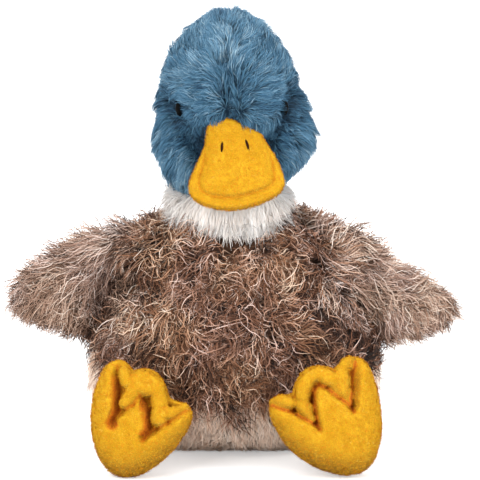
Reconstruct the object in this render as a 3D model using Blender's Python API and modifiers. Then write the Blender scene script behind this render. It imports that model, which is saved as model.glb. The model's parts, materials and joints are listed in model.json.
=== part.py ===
"""A plush duck that sits with its legs forward and its wings spread, in metres with +Z up, facing -Y.

The origin is on the surface that it sits on, below the middle of its box. Left and right are the duck's own, so its
left is at +X. Soft forms are cages of rings with a Subdivision Surface, set so that the smooth form passes through
the rings, and each smaller form is cut by the larger one that it is sewn to.
"""

import math

import bmesh
import bpy
import numpy as np
from mathutils import Matrix, Vector
from mathutils.bvhtree import BVHTree

MM = 0.001

# Fits shared by all pieces
SEAM_GAP = 0.3 * MM
FIBRE_GAP = 0.5 * MM
FLOP_GAP = 1.3 * MM
FLAT_CUT = 0.5 * MM
BODY_AXIS_Y = 10 * MM

# Body
BODY_HEIGHT = 156 * MM
HIP_HALF_WIDTH = 90 * MM
BELLY_FRONT = 70 * MM
RUMP_BACK = 72 * MM
BODY_WALL = 7 * MM
SEAT_PANEL_HALF_WIDTH = 54 * MM
SEAT_PANEL_HALF_DEPTH = 44 * MM
SEAT_PANEL_THICKNESS = 6 * MM
SEAT_PANEL_EDGE = 2 * MM
PELLET_BAG_HEIGHT = 26 * MM
PELLET_BAG_MARGIN = 6 * MM
# Height, half width, front and back of each section, as shares of the body's own sizes
BODY_SECTION_SHARES = (
    (0.01, 0.66, 0.62, 0.62),
    (0.09, 0.89, 0.88, 0.88),
    (0.30, 1.00, 1.00, 1.00),
    (0.52, 0.97, 0.96, 0.94),
    (0.72, 0.84, 0.82, 0.78),
    (0.87, 0.66, 0.66, 0.61),
    (0.96, 0.42, 0.46, 0.41),
)

# Neck and collar
NECK_RADIUS = 25 * MM
NECK_BALL_PROUD = 1 * MM
NECK_JOINT_ABOVE_BODY = 15 * MM
NECK_SEAT_DEPTH = 28 * MM
NECK_RELIEF_ANGLE = math.radians(34)
RUFF_HALF_WIDTH = 43 * MM
RUFF_BELOW_JOINT = 33 * MM
RUFF_ABOVE_JOINT = 4 * MM
# Reach and height of the collar's outline, from its lower side round to its core, which the neck's bore removes
RUFF_OUTLINE_SHARES = ((0.35, 0.00), (0.95, 0.08), (1.05, 0.50), (0.85, 0.92), (0.30, 1.00), (-0.50, 0.50))

# Head
HEAD_BASE_BELOW_JOINT = 8 * MM
HEAD_HEIGHT = 115 * MM
HEAD_HALF_WIDTH = 45 * MM
FOREHEAD_FRONT = 54 * MM
HEAD_BACK = 50 * MM
HEAD_WALL = 6 * MM
HEAD_SECTION_SHARES = (
    (0.05, 0.50, 0.42, 0.45),
    (0.20, 0.84, 0.74, 0.80),
    (0.42, 0.99, 0.98, 0.98),
    (0.61, 0.94, 0.99, 0.98),
    (0.78, 0.78, 0.83, 0.85),
    (0.91, 0.54, 0.54, 0.60),
    (0.98, 0.26, 0.24, 0.30),
)
CHEEK_HALF_HEIGHT = 30 * MM
CHEEK_OUT = 50 * MM
CHEEK_HALF_WIDTH = 22 * MM
CHEEK_HALF_DEPTH = 33 * MM
CHEEK_FORWARD = 10 * MM
CHEEK_TOP_ABOVE_JOINT = 50 * MM
CHEEK_TILT = math.radians(12)

# Eyes
EYE_RADIUS = 5.5 * MM
EYE_DOME_SHARE = 0.62
EYE_TURN = math.radians(52)
EYE_ABOVE_JOINT = 51 * MM
EYE_FLANGE = 1 * MM
EYE_SUNK = 1.5 * MM
STEM_RADIUS = 2 * MM
STEM_LENGTH = 12 * MM
STEM_CLEARANCE = 0.3 * MM
WASHER_RADIUS = 7 * MM
WASHER_THICKNESS = 1.6 * MM

# Bill
BILL_ROOT_ABOVE_JOINT = 37 * MM
BILL_ROOT_FORWARD = 49 * MM
BILL_DROOP = math.radians(24)
BILL_HALF_WIDTH = 30 * MM
BILL_LENGTH = 50 * MM
BILL_BRIM = 8 * MM
BILL_BRIM_HALF = 2.6 * MM
BILL_PAD_RISE = 8 * MM
BILL_GROOVE = 1.2 * MM
BILL_UNDER = 6 * MM
BILL_COVER = 2.2 * MM
BILL_CENTRE_SHARE = 0.44
# Half of the outline from the root round to the tip, as shares of the bill's half width and length, and of its brim
BILL_OUTLINE_SHARES = (
    (0.00, -0.20, 0.15),
    (0.40, -0.16, 0.15),
    (0.64, 0.06, 0.25),
    (0.82, 0.35, 0.85),
    (1.00, 0.60, 1.00),
    (0.94, 0.78, 1.00),
    (0.62, 0.92, 1.00),
    (0.00, 1.00, 1.00),
)
NOSTRIL_LENGTH = 7 * MM
NOSTRIL_RADIUS = 0.8 * MM
NOSTRIL_APART = 16.5 * MM
NOSTRIL_FROM_ROOT = 6 * MM
NOSTRIL_SPLAY = math.radians(8)

# Wings
WING_SEAM_BELOW_TOP = 15 * MM
WING_SEAM_DROP = 68 * MM
WING_SEAM_PROUD = 1.5 * MM
WING_SPAN = 73 * MM
WING_ROOT_THICKNESS = 9 * MM
WING_THICKNESS = 20 * MM
WING_DROOP = math.radians(16)
WING_EXTRA_DROOP = {"left": math.radians(4), "right": math.radians(0)}
# Distance along the span, half chord as a share of half the seam, and thickness as a share of the wing's
WING_SECTION_SHARES = (
    (0.04, 0.97, 0.45),
    (0.25, 0.93, 0.95),
    (0.50, 0.72, 1.00),
    (0.75, 0.50, 0.86),
    (0.94, 0.30, 0.52),
)
# Turns of the joint, forward and back, at which the wing's root is relieved
WING_FOLD_STEPS = tuple(math.radians(angle) for angle in (-20, 0, 15, 30, 45))

# Legs
HIP_TURN = math.radians(33)
HIP_HEIGHT = 33 * MM
HIP_BALL = 20 * MM
LEG_LENGTH = 31 * MM
LEG_RADIUS = 20 * MM
ANKLE_BALL = 12 * MM
# Distance from hip to ankle and radius, as shares of the leg's own sizes
LEG_SECTION_SHARES = ((0.00, 0.80), (0.30, 1.00), (0.65, 0.95), (0.95, 0.60))
LEG_SWING_STEPS = tuple(math.radians(angle) for angle in (-25, -8, 8, 20))
FOOT_FLOP_STEPS = tuple(math.radians(angle) for angle in (-20, 0, 20))

# Feet
FOOT_SPREAD = 58 * MM
FOOT_REACH = 45 * MM
FOOT_LEAN = math.radians(6)
FOOT_YAW = math.radians(7)
SOLE_BULGE = 13 * MM
UPPER_BULGE = 15 * MM
ANKLE_PROUD = 3 * MM
# Direction in degrees round the sole, reach, and height of the form there, for the duck's left foot
FOOT_OUTLINE_SHARES = (
    (74, 0.98, 0.80),
    (60, 0.98, 0.90),
    (37, 0.76, 1.00),
    (4, 0.65, 1.00),
    (-36, 0.67, 1.00),
    (-74, 0.70, 1.00),
    (-112, 0.61, 1.00),
    (-150, 0.62, 1.00),
    (178, 0.80, 0.95),
    (158, 0.86, 0.80),
    (143, 0.76, 0.70),
    (129, 0.60, 0.45),
    (112, 0.82, 0.75),
    (98, 0.92, 0.75),
    (86, 0.76, 0.45),
)

# Tail
TAIL_HEIGHT = 34 * MM
TAIL_LENGTH = 34 * MM
TAIL_HALF_WIDTH = 20 * MM
TAIL_THICKNESS = 15 * MM
TAIL_RISE = math.radians(24)
TAIL_SECTION_SHARES = ((0.05, 0.95, 0.70), (0.35, 1.00, 1.00), (0.70, 0.68, 0.72), (0.93, 0.32, 0.42))
TAIL_LIFT_STEPS = tuple(math.radians(angle) for angle in (-15, 5, 25))

# Fineness of the round forms
BODY_SIDES = 12
HEAD_SIDES = 12
INNER_SIDES = 8
LIMB_SIDES = 8
BALL_SEGMENTS = 18
BALL_RINGS = 8
TURNED_STEPS = 24
DOME_STEPS = 4
FAIRING_ROUNDS = 12
POLE_HOLD = 0.64

SIDES = {"left": 1, "right": -1}


def named_collection(name):
    """A collection linked to the scene."""
    made = bpy.data.collections.new(name)
    bpy.context.scene.collection.children.link(made)
    return made


def finish_colour(name, colour, roughness):
    """A Principled material for one kind of cloth, thread or plastic."""
    made = bpy.data.materials.new(name)
    made.use_nodes = True
    shader = made.node_tree.nodes["Principled BSDF"]
    shader.inputs["Base Color"].default_value = (*colour, 1)
    shader.inputs["Roughness"].default_value = roughness
    shader.inputs["Metallic"].default_value = 0
    return made


def fair_cage(rings, poles):
    """The cage whose subdivided surface passes through these rings and poles."""
    target, ends = np.array(rings, float), np.array(poles, float)
    cage, tips = target.copy(), ends.copy()
    sides = target.shape[1]
    for _ in range(FAIRING_ROUNDS):
        rows = np.concatenate([[np.tile(tips[0], (sides, 1))], cage, [np.tile(tips[1], (sides, 1))]])
        around = (np.roll(rows, 1, axis=1) + 4 * rows + np.roll(rows, -1, axis=1)) / 6
        cage += target - (around[:-2] + 4 * around[1:-1] + around[2:]) / 6
        beside = np.array([cage[0].mean(axis=0), cage[-1].mean(axis=0)])
        tips = (ends - (1 - POLE_HOLD) * beside) / POLE_HOLD
    return cage, tips


def cage_mesh(name, rings, poles):
    """A closed mesh skinned over the rings, with a fan at each pole."""
    cage, tips = fair_cage(rings, poles)
    mesh = bpy.data.meshes.new(name)
    shape = bmesh.new()
    rows = [[shape.verts.new(point) for point in ring] for ring in cage]
    first, last = shape.verts.new(tips[0]), shape.verts.new(tips[1])
    for low, high in zip(rows, rows[1:]):
        for i in range(len(low)):
            shape.faces.new((low[i - 1], low[i], high[i], high[i - 1]))
    for i in range(len(rows[0])):
        shape.faces.new((first, rows[0][i], rows[0][i - 1]))
        shape.faces.new((last, rows[-1][i - 1], rows[-1][i]))
    bmesh.ops.recalc_face_normals(shape, faces=shape.faces)
    shape.to_mesh(mesh)
    shape.free()
    mesh.shade_smooth()
    return mesh


def added(name, mesh, place, hidden=False):
    """An object of this mesh, in the collection of the parts or of the cutters."""
    made = bpy.data.objects.new(name, mesh)
    place.objects.link(made)
    if hidden:
        made.hide_render = True
        made.display_type = "WIRE"
    return made


def subdivided(obj, levels=1):
    """Adds the Subdivision Surface that rounds a cage."""
    smooth = obj.modifiers.new("Round", "SUBSURF")
    smooth.levels = levels
    smooth.render_levels = levels
    return obj


def grown(obj, amount):
    """Moves the surface out along its normals, or in where the amount is negative."""
    offset = obj.modifiers.new("Offset", "DISPLACE")
    offset.strength = amount
    offset.mid_level = 0
    return obj


def combined(obj, other, operation="DIFFERENCE"):
    """Cuts the object by a cutter, or joins or intersects it with one."""
    step = obj.modifiers.new(f"{operation.title()} {other.name}", "BOOLEAN")
    step.object = other
    step.operation = operation
    step.solver = "EXACT"
    return obj


def oval_ring(centre, first, second, opposite, sides):
    """Points round a centre, where the half of the oval behind it has a depth of its own, opposite."""
    turns = [math.tau * i / sides for i in range(sides)]
    return [
        centre + first * math.cos(turn) + (second if math.sin(turn) > 0 else opposite) * math.sin(turn)
        for turn in turns
    ]


def section_value(shares, column, height_share):
    """One column of a table of sections, at this share of the height."""
    heights = [row[0] for row in shares]
    return float(np.interp(height_share, heights, [row[column] for row in shares]))


def standing_rings(shares, base, height, half_width, front, back, sides):
    """Rings and poles of a form whose sections lie flat, one above the other."""
    rings = [
        oval_ring(
            Vector((0, 0, base + height * up)),
            Vector((half_width * wide, 0, 0)),
            Vector((0, back * rear, 0)),
            Vector((0, front * fore, 0)),
            sides,
        )
        for up, wide, fore, rear in shares
    ]
    return rings, (Vector((0, 0, base)), Vector((0, 0, base + height)))


def ball_mesh(name, radius):
    """A ball whose poles lie along X, the axis that the limbs swing about."""
    mesh = bpy.data.meshes.new(name)
    shape = bmesh.new()
    turned = Matrix.Rotation(math.radians(90), 4, "Y")
    bmesh.ops.create_uvsphere(
        shape, u_segments=BALL_SEGMENTS, v_segments=BALL_RINGS, radius=radius, matrix=turned
    )
    shape.to_mesh(mesh)
    shape.free()
    mesh.shade_smooth()
    return mesh


def socket_radius(ball, gap):
    """The radius of a faceted socket that a faceted ball turns in about X with this gap."""
    return ball / math.cos(math.pi / BALL_SEGMENTS) + gap


def turned_mesh(name, outline):
    """An outline of (radius, height), from the top down, that closes on itself or on the axis."""
    mesh = bpy.data.meshes.new(name)
    points = [(radius, 0, height) for radius, height in outline]
    edges = [(i, i + 1) for i in range(len(points) - 1)]
    if points[0][0] and points[-1][0]:
        edges.append((len(points) - 1, 0))
    mesh.from_pydata(points, edges, [])
    return mesh


def screwed(obj):
    """Turns an outline about Z."""
    turn = obj.modifiers.new("Turn", "SCREW")
    turn.steps = TURNED_STEPS
    turn.render_steps = TURNED_STEPS
    turn.use_merge_vertices = True
    turn.merge_threshold = SEAM_GAP * 0.1
    return obj


class Workshop:
    """Keeps the collections, the finishes and the empties that the pieces hang on."""

    def __init__(self):
        for obj in list(bpy.data.objects):
            bpy.data.objects.remove(obj, do_unlink=True)
        self.parts = named_collection("plush_duck")
        self.cutters = named_collection("cutters")
        self.duck = self.pivot("duck", Vector((0, BODY_AXIS_Y, 0)), None)
        self.finishes = {
            "shaggy": finish_colour("Shaggy plush", (0.25, 0.17, 0.13), 0.9),
            "cream": finish_colour("Cream plush", (0.72, 0.66, 0.60), 0.9),
            "white": finish_colour("White plush", (0.80, 0.78, 0.75), 0.9),
            "blue": finish_colour("Blue plush", (0.06, 0.17, 0.30), 0.85),
            "yellow": finish_colour("Yellow short pile", (0.90, 0.42, 0.01), 0.8),
            "fibre": finish_colour("Fibre stuffing", (0.85, 0.85, 0.83), 0.95),
            "pellets": finish_colour("Pellet bag", (0.75, 0.72, 0.66), 0.8),
            "black": finish_colour("Black plastic", (0.01, 0.01, 0.01), 0.15),
            "clear": finish_colour("Natural plastic", (0.70, 0.70, 0.68), 0.4),
            "thread": finish_colour("Dark thread", (0.03, 0.012, 0.006), 0.7),
        }

    def pivot(self, name, place, parent):
        """An empty on a joint's axis, at this place in the duck's own frame."""
        made = bpy.data.objects.new(name, None)
        self.parts.objects.link(made)
        made["place"] = place
        made.parent = parent
        # The duck's own frame starts at its empty, so only that one has a place in the world
        made.location = place if parent is None or parent.name == "duck" else place - Vector(parent["place"])
        return made

    def hang(self, obj, pivot, finish=None):
        """Hangs a piece, modelled in the duck's own frame, on an empty and gives it its finish."""
        if pivot is not self.duck:
            obj.data.transform(Matrix.Translation(-Vector(pivot["place"])))
        obj.parent = pivot
        if finish:
            obj.data.materials.append(self.finishes[finish])
        return obj

    def piece(self, name, mesh, pivot, finish):
        """A part of the duck."""
        return self.hang(added(name, mesh, self.parts), pivot, finish)

    def cutter(self, name, mesh, pivot):
        """A helper that cuts or joins, and isn't part of the duck."""
        return self.hang(added(name, mesh, self.cutters, hidden=True), pivot)

    def twin(self, obj, name, amount):
        """A cutter of the same cage as this piece, grown by an amount."""
        made = added(name, obj.data, self.cutters, hidden=True)
        made.parent = obj.parent
        return grown(subdivided(made), amount)


def swung_twin(shop, obj, name, amount, joint, axis, angle):
    """A grown twin of a piece, turned about a joint's axis, to relieve what swings beside it."""
    made = shop.twin(obj, name, amount)
    turn = Matrix.Translation(joint) @ Matrix.Rotation(angle, 4, axis) @ Matrix.Translation(-joint)
    made.matrix_local = turn
    return made


def body_width_at(height):
    """The body's half width at this height."""
    return HIP_HALF_WIDTH * section_value(BODY_SECTION_SHARES, 1, height / BODY_HEIGHT)


class Body:
    """The body cover, its stuffing, the seat panel and the pellet bag."""

    def __init__(self, shop):
        self.shop = shop
        self.cover = self.form("body_cover", BODY_SIDES, shop.parts, "shaggy")
        self.floor = self.floor_block()
        self.stuffing = self.inner("body_stuffing", BODY_WALL + FIBRE_GAP, shop.parts)
        self.stuffing.data.materials.append(shop.finishes["fibre"])
        self.cavity = self.inner("body_cavity", BODY_WALL, shop.cutters)
        self.panel = self.seat_panel()
        self.bag = self.pellet_bag()
        combined(self.cover, self.floor)
        combined(self.cover, self.cavity)
        self.cut_by_seat()

    def form(self, name, sides, place, finish=None):
        """The body's outer form."""
        rings, poles = standing_rings(
            BODY_SECTION_SHARES, -FLAT_CUT, BODY_HEIGHT + FLAT_CUT, HIP_HALF_WIDTH, BELLY_FRONT, RUMP_BACK, sides
        )
        made = added(name, cage_mesh(name, rings, poles), place, hidden=finish is None)
        self.shop.hang(made, self.shop.duck, finish)
        return subdivided(made)

    def inner(self, name, wall, place):
        """The body's form without its wall, from the seat panel up."""
        made = added(name, self.inner_cage(name, wall), place, hidden=place is self.shop.cutters)
        made.parent = self.shop.duck
        return subdivided(made)

    def inner_cage(self, name, wall):
        """Rings of the body's form, each drawn in by the wall."""
        rings, poles = standing_rings(
            BODY_SECTION_SHARES[::2],
            SEAT_PANEL_THICKNESS + wall - BODY_WALL,
            BODY_HEIGHT - SEAT_PANEL_THICKNESS - BODY_WALL - 2 * (wall - BODY_WALL),
            HIP_HALF_WIDTH - wall,
            BELLY_FRONT - wall,
            RUMP_BACK - wall,
            INNER_SIDES,
        )
        return cage_mesh(name, rings, poles)

    def floor_block(self):
        """What lies below the surface that the duck sits on."""
        mesh = bpy.data.meshes.new("floor_block")
        shape = bmesh.new()
        side = 4 * HIP_HALF_WIDTH
        size = Matrix.Diagonal((side, side, side, 1))
        bmesh.ops.create_cube(shape, size=1, matrix=Matrix.Translation((0, 0, -side / 2)) @ size)
        shape.to_mesh(mesh)
        shape.free()
        return self.shop.cutter("floor_block", mesh, self.shop.duck)

    def seat_outline(self, name, grow, low, high, edge, place):
        """The seat panel's oval as a bevelled slab, made a mesh so that it can cut."""
        curve = bpy.data.curves.new(name, "CURVE")
        curve.dimensions = "2D"
        curve.fill_mode = "BOTH"
        curve.resolution_u = 1
        curve.extrude = (high - low) / 2 - edge
        curve.bevel_depth = edge
        curve.bevel_resolution = 1
        spline = curve.splines.new("POLY")
        count = 2 * BODY_SIDES
        spline.points.add(count - 1)
        for i, point in enumerate(spline.points):
            turn = math.tau * i / count
            reach = (SEAT_PANEL_HALF_WIDTH + grow - edge, SEAT_PANEL_HALF_DEPTH + grow - edge)
            point.co = (reach[0] * math.cos(turn), reach[1] * math.sin(turn), 0, 1)
        spline.use_cyclic_u = True
        drawn = added(name + "_outline", curve, place)
        drawn.location = (0, 0, (high + low) / 2)
        bpy.context.view_layer.update()
        graph = bpy.context.evaluated_depsgraph_get()
        mesh = bpy.data.meshes.new_from_object(drawn.evaluated_get(graph))
        mesh.transform(drawn.matrix_world)
        mesh.name = name
        welded = bmesh.new()
        welded.from_mesh(mesh)
        bmesh.ops.remove_doubles(welded, verts=welded.verts, dist=SEAM_GAP * 0.1)
        bmesh.ops.recalc_face_normals(welded, faces=welded.faces)
        welded.to_mesh(mesh)
        welded.free()
        bpy.data.objects.remove(drawn)
        return mesh

    def seat_panel(self):
        """The oval panel that closes the body below and that it sits on."""
        shop = self.shop
        mesh = self.seat_outline("seat_panel", 0, 0, SEAT_PANEL_THICKNESS, SEAT_PANEL_EDGE, shop.parts)
        made = shop.piece("seat_panel", mesh, shop.duck, "cream")
        hole = self.seat_outline(
            "seat_opening",
            SEAM_GAP,
            -SEAT_PANEL_THICKNESS,
            SEAT_PANEL_THICKNESS + SEAM_GAP,
            SEAT_PANEL_EDGE,
            shop.cutters,
        )
        self.opening = shop.cutter("seat_opening", hole, shop.duck)
        return made

    def pellet_bag(self):
        """A flat oval bag that lies on the seat panel."""
        base = SEAT_PANEL_THICKNESS + SEAM_GAP
        shares = ((0.10, 0.82, 0.82, 0.82), (0.40, 1.0, 1.0, 1.0), (0.72, 0.86, 0.86, 0.86))
        rings, poles = standing_rings(
            shares,
            base,
            PELLET_BAG_HEIGHT,
            SEAT_PANEL_HALF_WIDTH - PELLET_BAG_MARGIN,
            SEAT_PANEL_HALF_DEPTH - PELLET_BAG_MARGIN,
            SEAT_PANEL_HALF_DEPTH - PELLET_BAG_MARGIN,
            INNER_SIDES,
        )
        made = self.shop.piece("seat_pellet_bag", cage_mesh("seat_pellet_bag", rings, poles), self.shop.duck, "pellets")
        return subdivided(made)

    def cut_by_seat(self):
        """Opens the cover for the panel and seats the stuffing on the pellet bag."""
        combined(self.cover, self.opening)
        combined(self.stuffing, self.opening)
        combined(self.stuffing, self.shop.twin(self.bag, "pellet_bag_space", SEAM_GAP))


class Neck:
    """The neck stuffing that turns in the body, and the collar round it."""

    def __init__(self, shop, body):
        self.shop, self.body = shop, body
        self.joint = Vector((0, 0, BODY_HEIGHT + NECK_JOINT_ABOVE_BODY))
        self.pivot = shop.pivot("neck_turn", self.joint, shop.duck)
        self.column = shop.piece("neck_stuffing", self.turned("neck_stuffing", 0), self.pivot, "fibre")
        screwed(self.column)
        seat = shop.cutter("neck_seat", self.turned("neck_seat", SEAM_GAP), self.pivot)
        screwed(seat)
        for piece in (body.cover, body.stuffing):
            combined(piece, seat)
        self.ruff = subdivided(shop.piece("neck_ruff", self.collar(), shop.duck, "white"))
        combined(self.ruff, seat)
        combined(self.ruff, shop.twin(body.cover, "body_under_collar", SEAM_GAP))

    def turned(self, name, gap):
        """A column with a ball on top, in the duck's own frame."""
        bottom = self.joint.z - NECK_JOINT_ABOVE_BODY - NECK_SEAT_DEPTH - gap
        ball, column = NECK_RADIUS + NECK_BALL_PROUD + gap, NECK_RADIUS + gap
        reach = math.pi - math.asin(column / ball)
        arc = [reach * i / (2 * DOME_STEPS) for i in range(2 * DOME_STEPS + 1)]
        top = [(ball * math.sin(turn), self.joint.z + ball * math.cos(turn)) for turn in arc]
        return turned_mesh(name, [*top, (column, bottom), (0, bottom)])

    def collar(self):
        """The collar's swelling ring as a cage."""
        base, height = self.joint.z - RUFF_BELOW_JOINT, RUFF_BELOW_JOINT + RUFF_ABOVE_JOINT
        inner = NECK_RADIUS
        shape, mesh = bmesh.new(), bpy.data.meshes.new("neck_ruff")
        rows = []
        for reach, up in RUFF_OUTLINE_SHARES:
            radius = inner + (RUFF_HALF_WIDTH - inner) * reach
            ring = oval_ring(
                Vector((0, 0, base + height * up)),
                Vector((radius, 0, 0)),
                Vector((0, radius, 0)),
                Vector((0, radius, 0)),
                HEAD_SIDES,
            )
            rows.append([shape.verts.new(point) for point in ring])
        for low, high in zip(rows, rows[1:] + rows[:1]):
            for i in range(HEAD_SIDES):
                shape.faces.new((low[i - 1], low[i], high[i], high[i - 1]))
        bmesh.ops.recalc_face_normals(shape, faces=shape.faces)
        shape.to_mesh(mesh)
        shape.free()
        mesh.shade_smooth()
        return mesh


class Head:
    """The head cover and its stuffing, the cheeks, the eyes and the bill."""

    def __init__(self, shop, neck):
        self.shop, self.neck, self.joint = shop, neck, neck.joint
        self.pivot = shop.pivot("head_nod", self.joint, neck.pivot)
        self.cover = subdivided(shop.piece("head_cover", self.form("head_cover", 0, HEAD_SIDES), self.pivot, "blue"))
        self.stuffing = subdivided(
            shop.piece(
                "head_stuffing", self.form("head_stuffing", HEAD_WALL + FIBRE_GAP, INNER_SIDES), self.pivot, "fibre"
            )
        )
        cavity = subdivided(shop.cutter("head_cavity", self.form("head_cavity", HEAD_WALL, INNER_SIDES), self.pivot))
        relief = screwed(shop.cutter("neck_relief", self.relief(), self.pivot))
        combined(self.cover, cavity)
        for piece in (self.cover, self.stuffing):
            combined(piece, relief)
        self.head_space = shop.twin(self.cover, "head_space", SEAM_GAP)
        combined(neck.ruff, self.head_space)
        self.eyes()
        self.bill()
        self.cheeks(relief)

    def form(self, name, wall, sides):
        """The head's form, drawn in by a wall."""
        rings, poles = standing_rings(
            HEAD_SECTION_SHARES[::2] if wall else HEAD_SECTION_SHARES,
            self.joint.z - HEAD_BASE_BELOW_JOINT + wall,
            HEAD_HEIGHT - 2 * wall,
            HEAD_HALF_WIDTH - wall,
            FOREHEAD_FRONT - wall,
            HEAD_BACK - wall,
            sides,
        )
        return cage_mesh(name, rings, poles)

    def relief(self):
        """The hollow that the neck's ball sits in, flared below so that the head can nod."""
        ball = (NECK_RADIUS + NECK_BALL_PROUD) / math.cos(math.pi / TURNED_STEPS) ** 2 + SEAM_GAP
        arc = [math.radians(90) * i / (2 * DOME_STEPS) for i in range(2 * DOME_STEPS + 1)]
        flare = HEAD_BASE_BELOW_JOINT * 4
        foot = ball + flare * math.tan(NECK_RELIEF_ANGLE)
        outline = [(ball * math.sin(turn), self.joint.z + ball * math.cos(turn)) for turn in arc]
        return turned_mesh("neck_relief", [*outline, (foot, self.joint.z - flare), (0, self.joint.z - flare)])

    def eyes(self):
        """Each eye's dome, flange and stem, and the washer that locks it behind the cover."""
        for side, sign in SIDES.items():
            share = (EYE_ABOVE_JOINT + HEAD_BASE_BELOW_JOINT) / HEAD_HEIGHT
            front = FOREHEAD_FRONT * section_value(HEAD_SECTION_SHARES, 2, share)
            width = HEAD_HALF_WIDTH * section_value(HEAD_SECTION_SHARES, 1, share)
            wide, ahead = math.sin(EYE_TURN) * sign, math.cos(EYE_TURN)
            out = Vector((wide * front, -ahead * width, 0)).normalized()
            seat = self.joint + Vector((wide * width, -ahead * front, EYE_ABOVE_JOINT)) - out * EYE_SUNK
            frame = Matrix.Translation(seat) @ out.to_track_quat("Z", "Y").to_matrix().to_4x4()
            self.turned_piece(f"eye_{side}", self.eye_outline(0), frame, "black")
            space = self.turned_cutter(f"eye_space_{side}", self.eye_outline(STEM_CLEARANCE), frame)
            inside = HEAD_WALL + WASHER_THICKNESS
            hole = STEM_RADIUS + STEM_CLEARANCE
            self.turned_piece(f"eye_washer_{side}", self.washer_outline(hole, 0, -inside), frame, "clear")
            room = self.turned_cutter(f"washer_space_{side}", self.washer_outline(0, SEAM_GAP, -inside), frame)
            combined(self.cover, space)
            combined(self.cover, room)
            combined(self.stuffing, space)
            combined(self.stuffing, room)

    def eye_outline(self, grow):
        """The eye from the top of its dome down to the end of its stem."""
        arc = [math.radians(90) * i / DOME_STEPS for i in range(DOME_STEPS)]
        dome = EYE_RADIUS * EYE_DOME_SHARE
        rim = EYE_RADIUS + grow
        outline = [(rim * math.sin(turn), (dome + grow) * math.cos(turn)) for turn in arc]
        stem = STEM_RADIUS + grow
        return [
            *outline,
            (rim, 0),
            (rim, -EYE_FLANGE - grow),
            (stem, -EYE_FLANGE - grow),
            (stem, -STEM_LENGTH - grow),
            (0, -STEM_LENGTH - grow),
        ]

    def washer_outline(self, hole, grow, middle):
        """A flat ring, or the disc of space that it takes."""
        rim, half = WASHER_RADIUS + grow, WASHER_THICKNESS / 2 + grow
        return [(hole, middle + half), (rim, middle + half), (rim, middle - half), (hole, middle - half)]

    def turned_piece(self, name, outline, frame, finish):
        """A turned piece of the head, in a frame of its own."""
        made = added(name, turned_mesh(name, outline), self.shop.parts)
        made.data.materials.append(self.shop.finishes[finish])
        return self.framed(made, frame)

    def turned_cutter(self, name, outline, frame):
        """A turned cutter in a frame of its own."""
        return self.framed(added(name, turned_mesh(name, outline), self.shop.cutters, hidden=True), frame)

    def framed(self, made, frame):
        """Turns an outline about its frame's Z and hangs it on the head."""
        screwed(made)
        made.modifiers["Turn"].steps = made.modifiers["Turn"].render_steps = BALL_SEGMENTS
        made.parent = self.pivot
        made.matrix_local = Matrix.Translation(-self.joint) @ frame
        return made

    def cheeks(self, relief):
        """The full lobes either side of the bill."""
        shares = ((0.06, 0.42), (0.24, 0.82), (0.46, 1.0), (0.70, 0.92), (0.90, 0.55))
        for side, sign in SIDES.items():
            bottom = self.joint.z + CHEEK_TOP_ABOVE_JOINT - 2 * CHEEK_HALF_HEIGHT
            middle = Vector(((CHEEK_OUT - CHEEK_HALF_WIDTH) * sign, -CHEEK_FORWARD, bottom))
            rings = [
                oval_ring(
                    middle + Vector((0, 0, 2 * CHEEK_HALF_HEIGHT * up)),
                    Vector((CHEEK_HALF_WIDTH * full, 0, 0)),
                    Vector((0, CHEEK_HALF_DEPTH * full, 0)),
                    Vector((0, CHEEK_HALF_DEPTH * full, 0)),
                    LIMB_SIDES,
                )
                for up, full in shares
            ]
            top = middle + Vector((0, 0, 2 * CHEEK_HALF_HEIGHT))
            mesh = cage_mesh(f"cheek_{side}", rings, (middle, top))
            centre = (middle + top) / 2
            tilt = Matrix.Rotation(CHEEK_TILT * sign, 4, "Y")
            mesh.transform(Matrix.Translation(centre) @ tilt @ Matrix.Translation(-centre))
            cheek = subdivided(self.shop.piece(f"cheek_{side}", mesh, self.pivot, "blue"))
            combined(self.neck.ruff, self.shop.twin(cheek, f"cheek_space_{side}", SEAM_GAP))
            combined(cheek, self.head_space)
            combined(cheek, self.bill_space)
            combined(cheek, relief)
            combined(cheek, bpy.data.objects[f"eye_space_{side}"])

    def bill_frame(self):
        """Across, along and out of the bill's upper face, from its root."""
        root = self.joint + Vector((0, -BILL_ROOT_FORWARD, BILL_ROOT_ABOVE_JOINT))
        along = Vector((0, -math.sin(BILL_DROOP), -math.cos(BILL_DROOP)))
        across = Vector((1, 0, 0))
        return root, across, along, along.cross(across)

    def bill_ring(self, inset, share, height):
        """The bill's outline drawn in by an inset and then a share, at a height above its mid plane."""
        root, across, along, out = self.bill_frame()
        half = [(wide * BILL_HALF_WIDTH, far * BILL_LENGTH, brim) for wide, far, brim in BILL_OUTLINE_SHARES]
        outline = half + [(-wide, far, brim) for wide, far, brim in reversed(half[1:-1])]
        centre = Vector((0, BILL_CENTRE_SHARE * BILL_LENGTH))
        points = []
        for wide, far, brim in outline:
            spoke = Vector((wide, far)) - centre
            spoke *= (1 - inset * brim / spoke.length) * share
            flat = centre + spoke
            points.append(root + across * flat.x + along * flat.y + out * height)
        return points

    def bill_pole(self, height):
        """The middle of the bill at a height above its mid plane."""
        root, _, along, out = self.bill_frame()
        return root + along * (BILL_CENTRE_SHARE * BILL_LENGTH) + out * height

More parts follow.
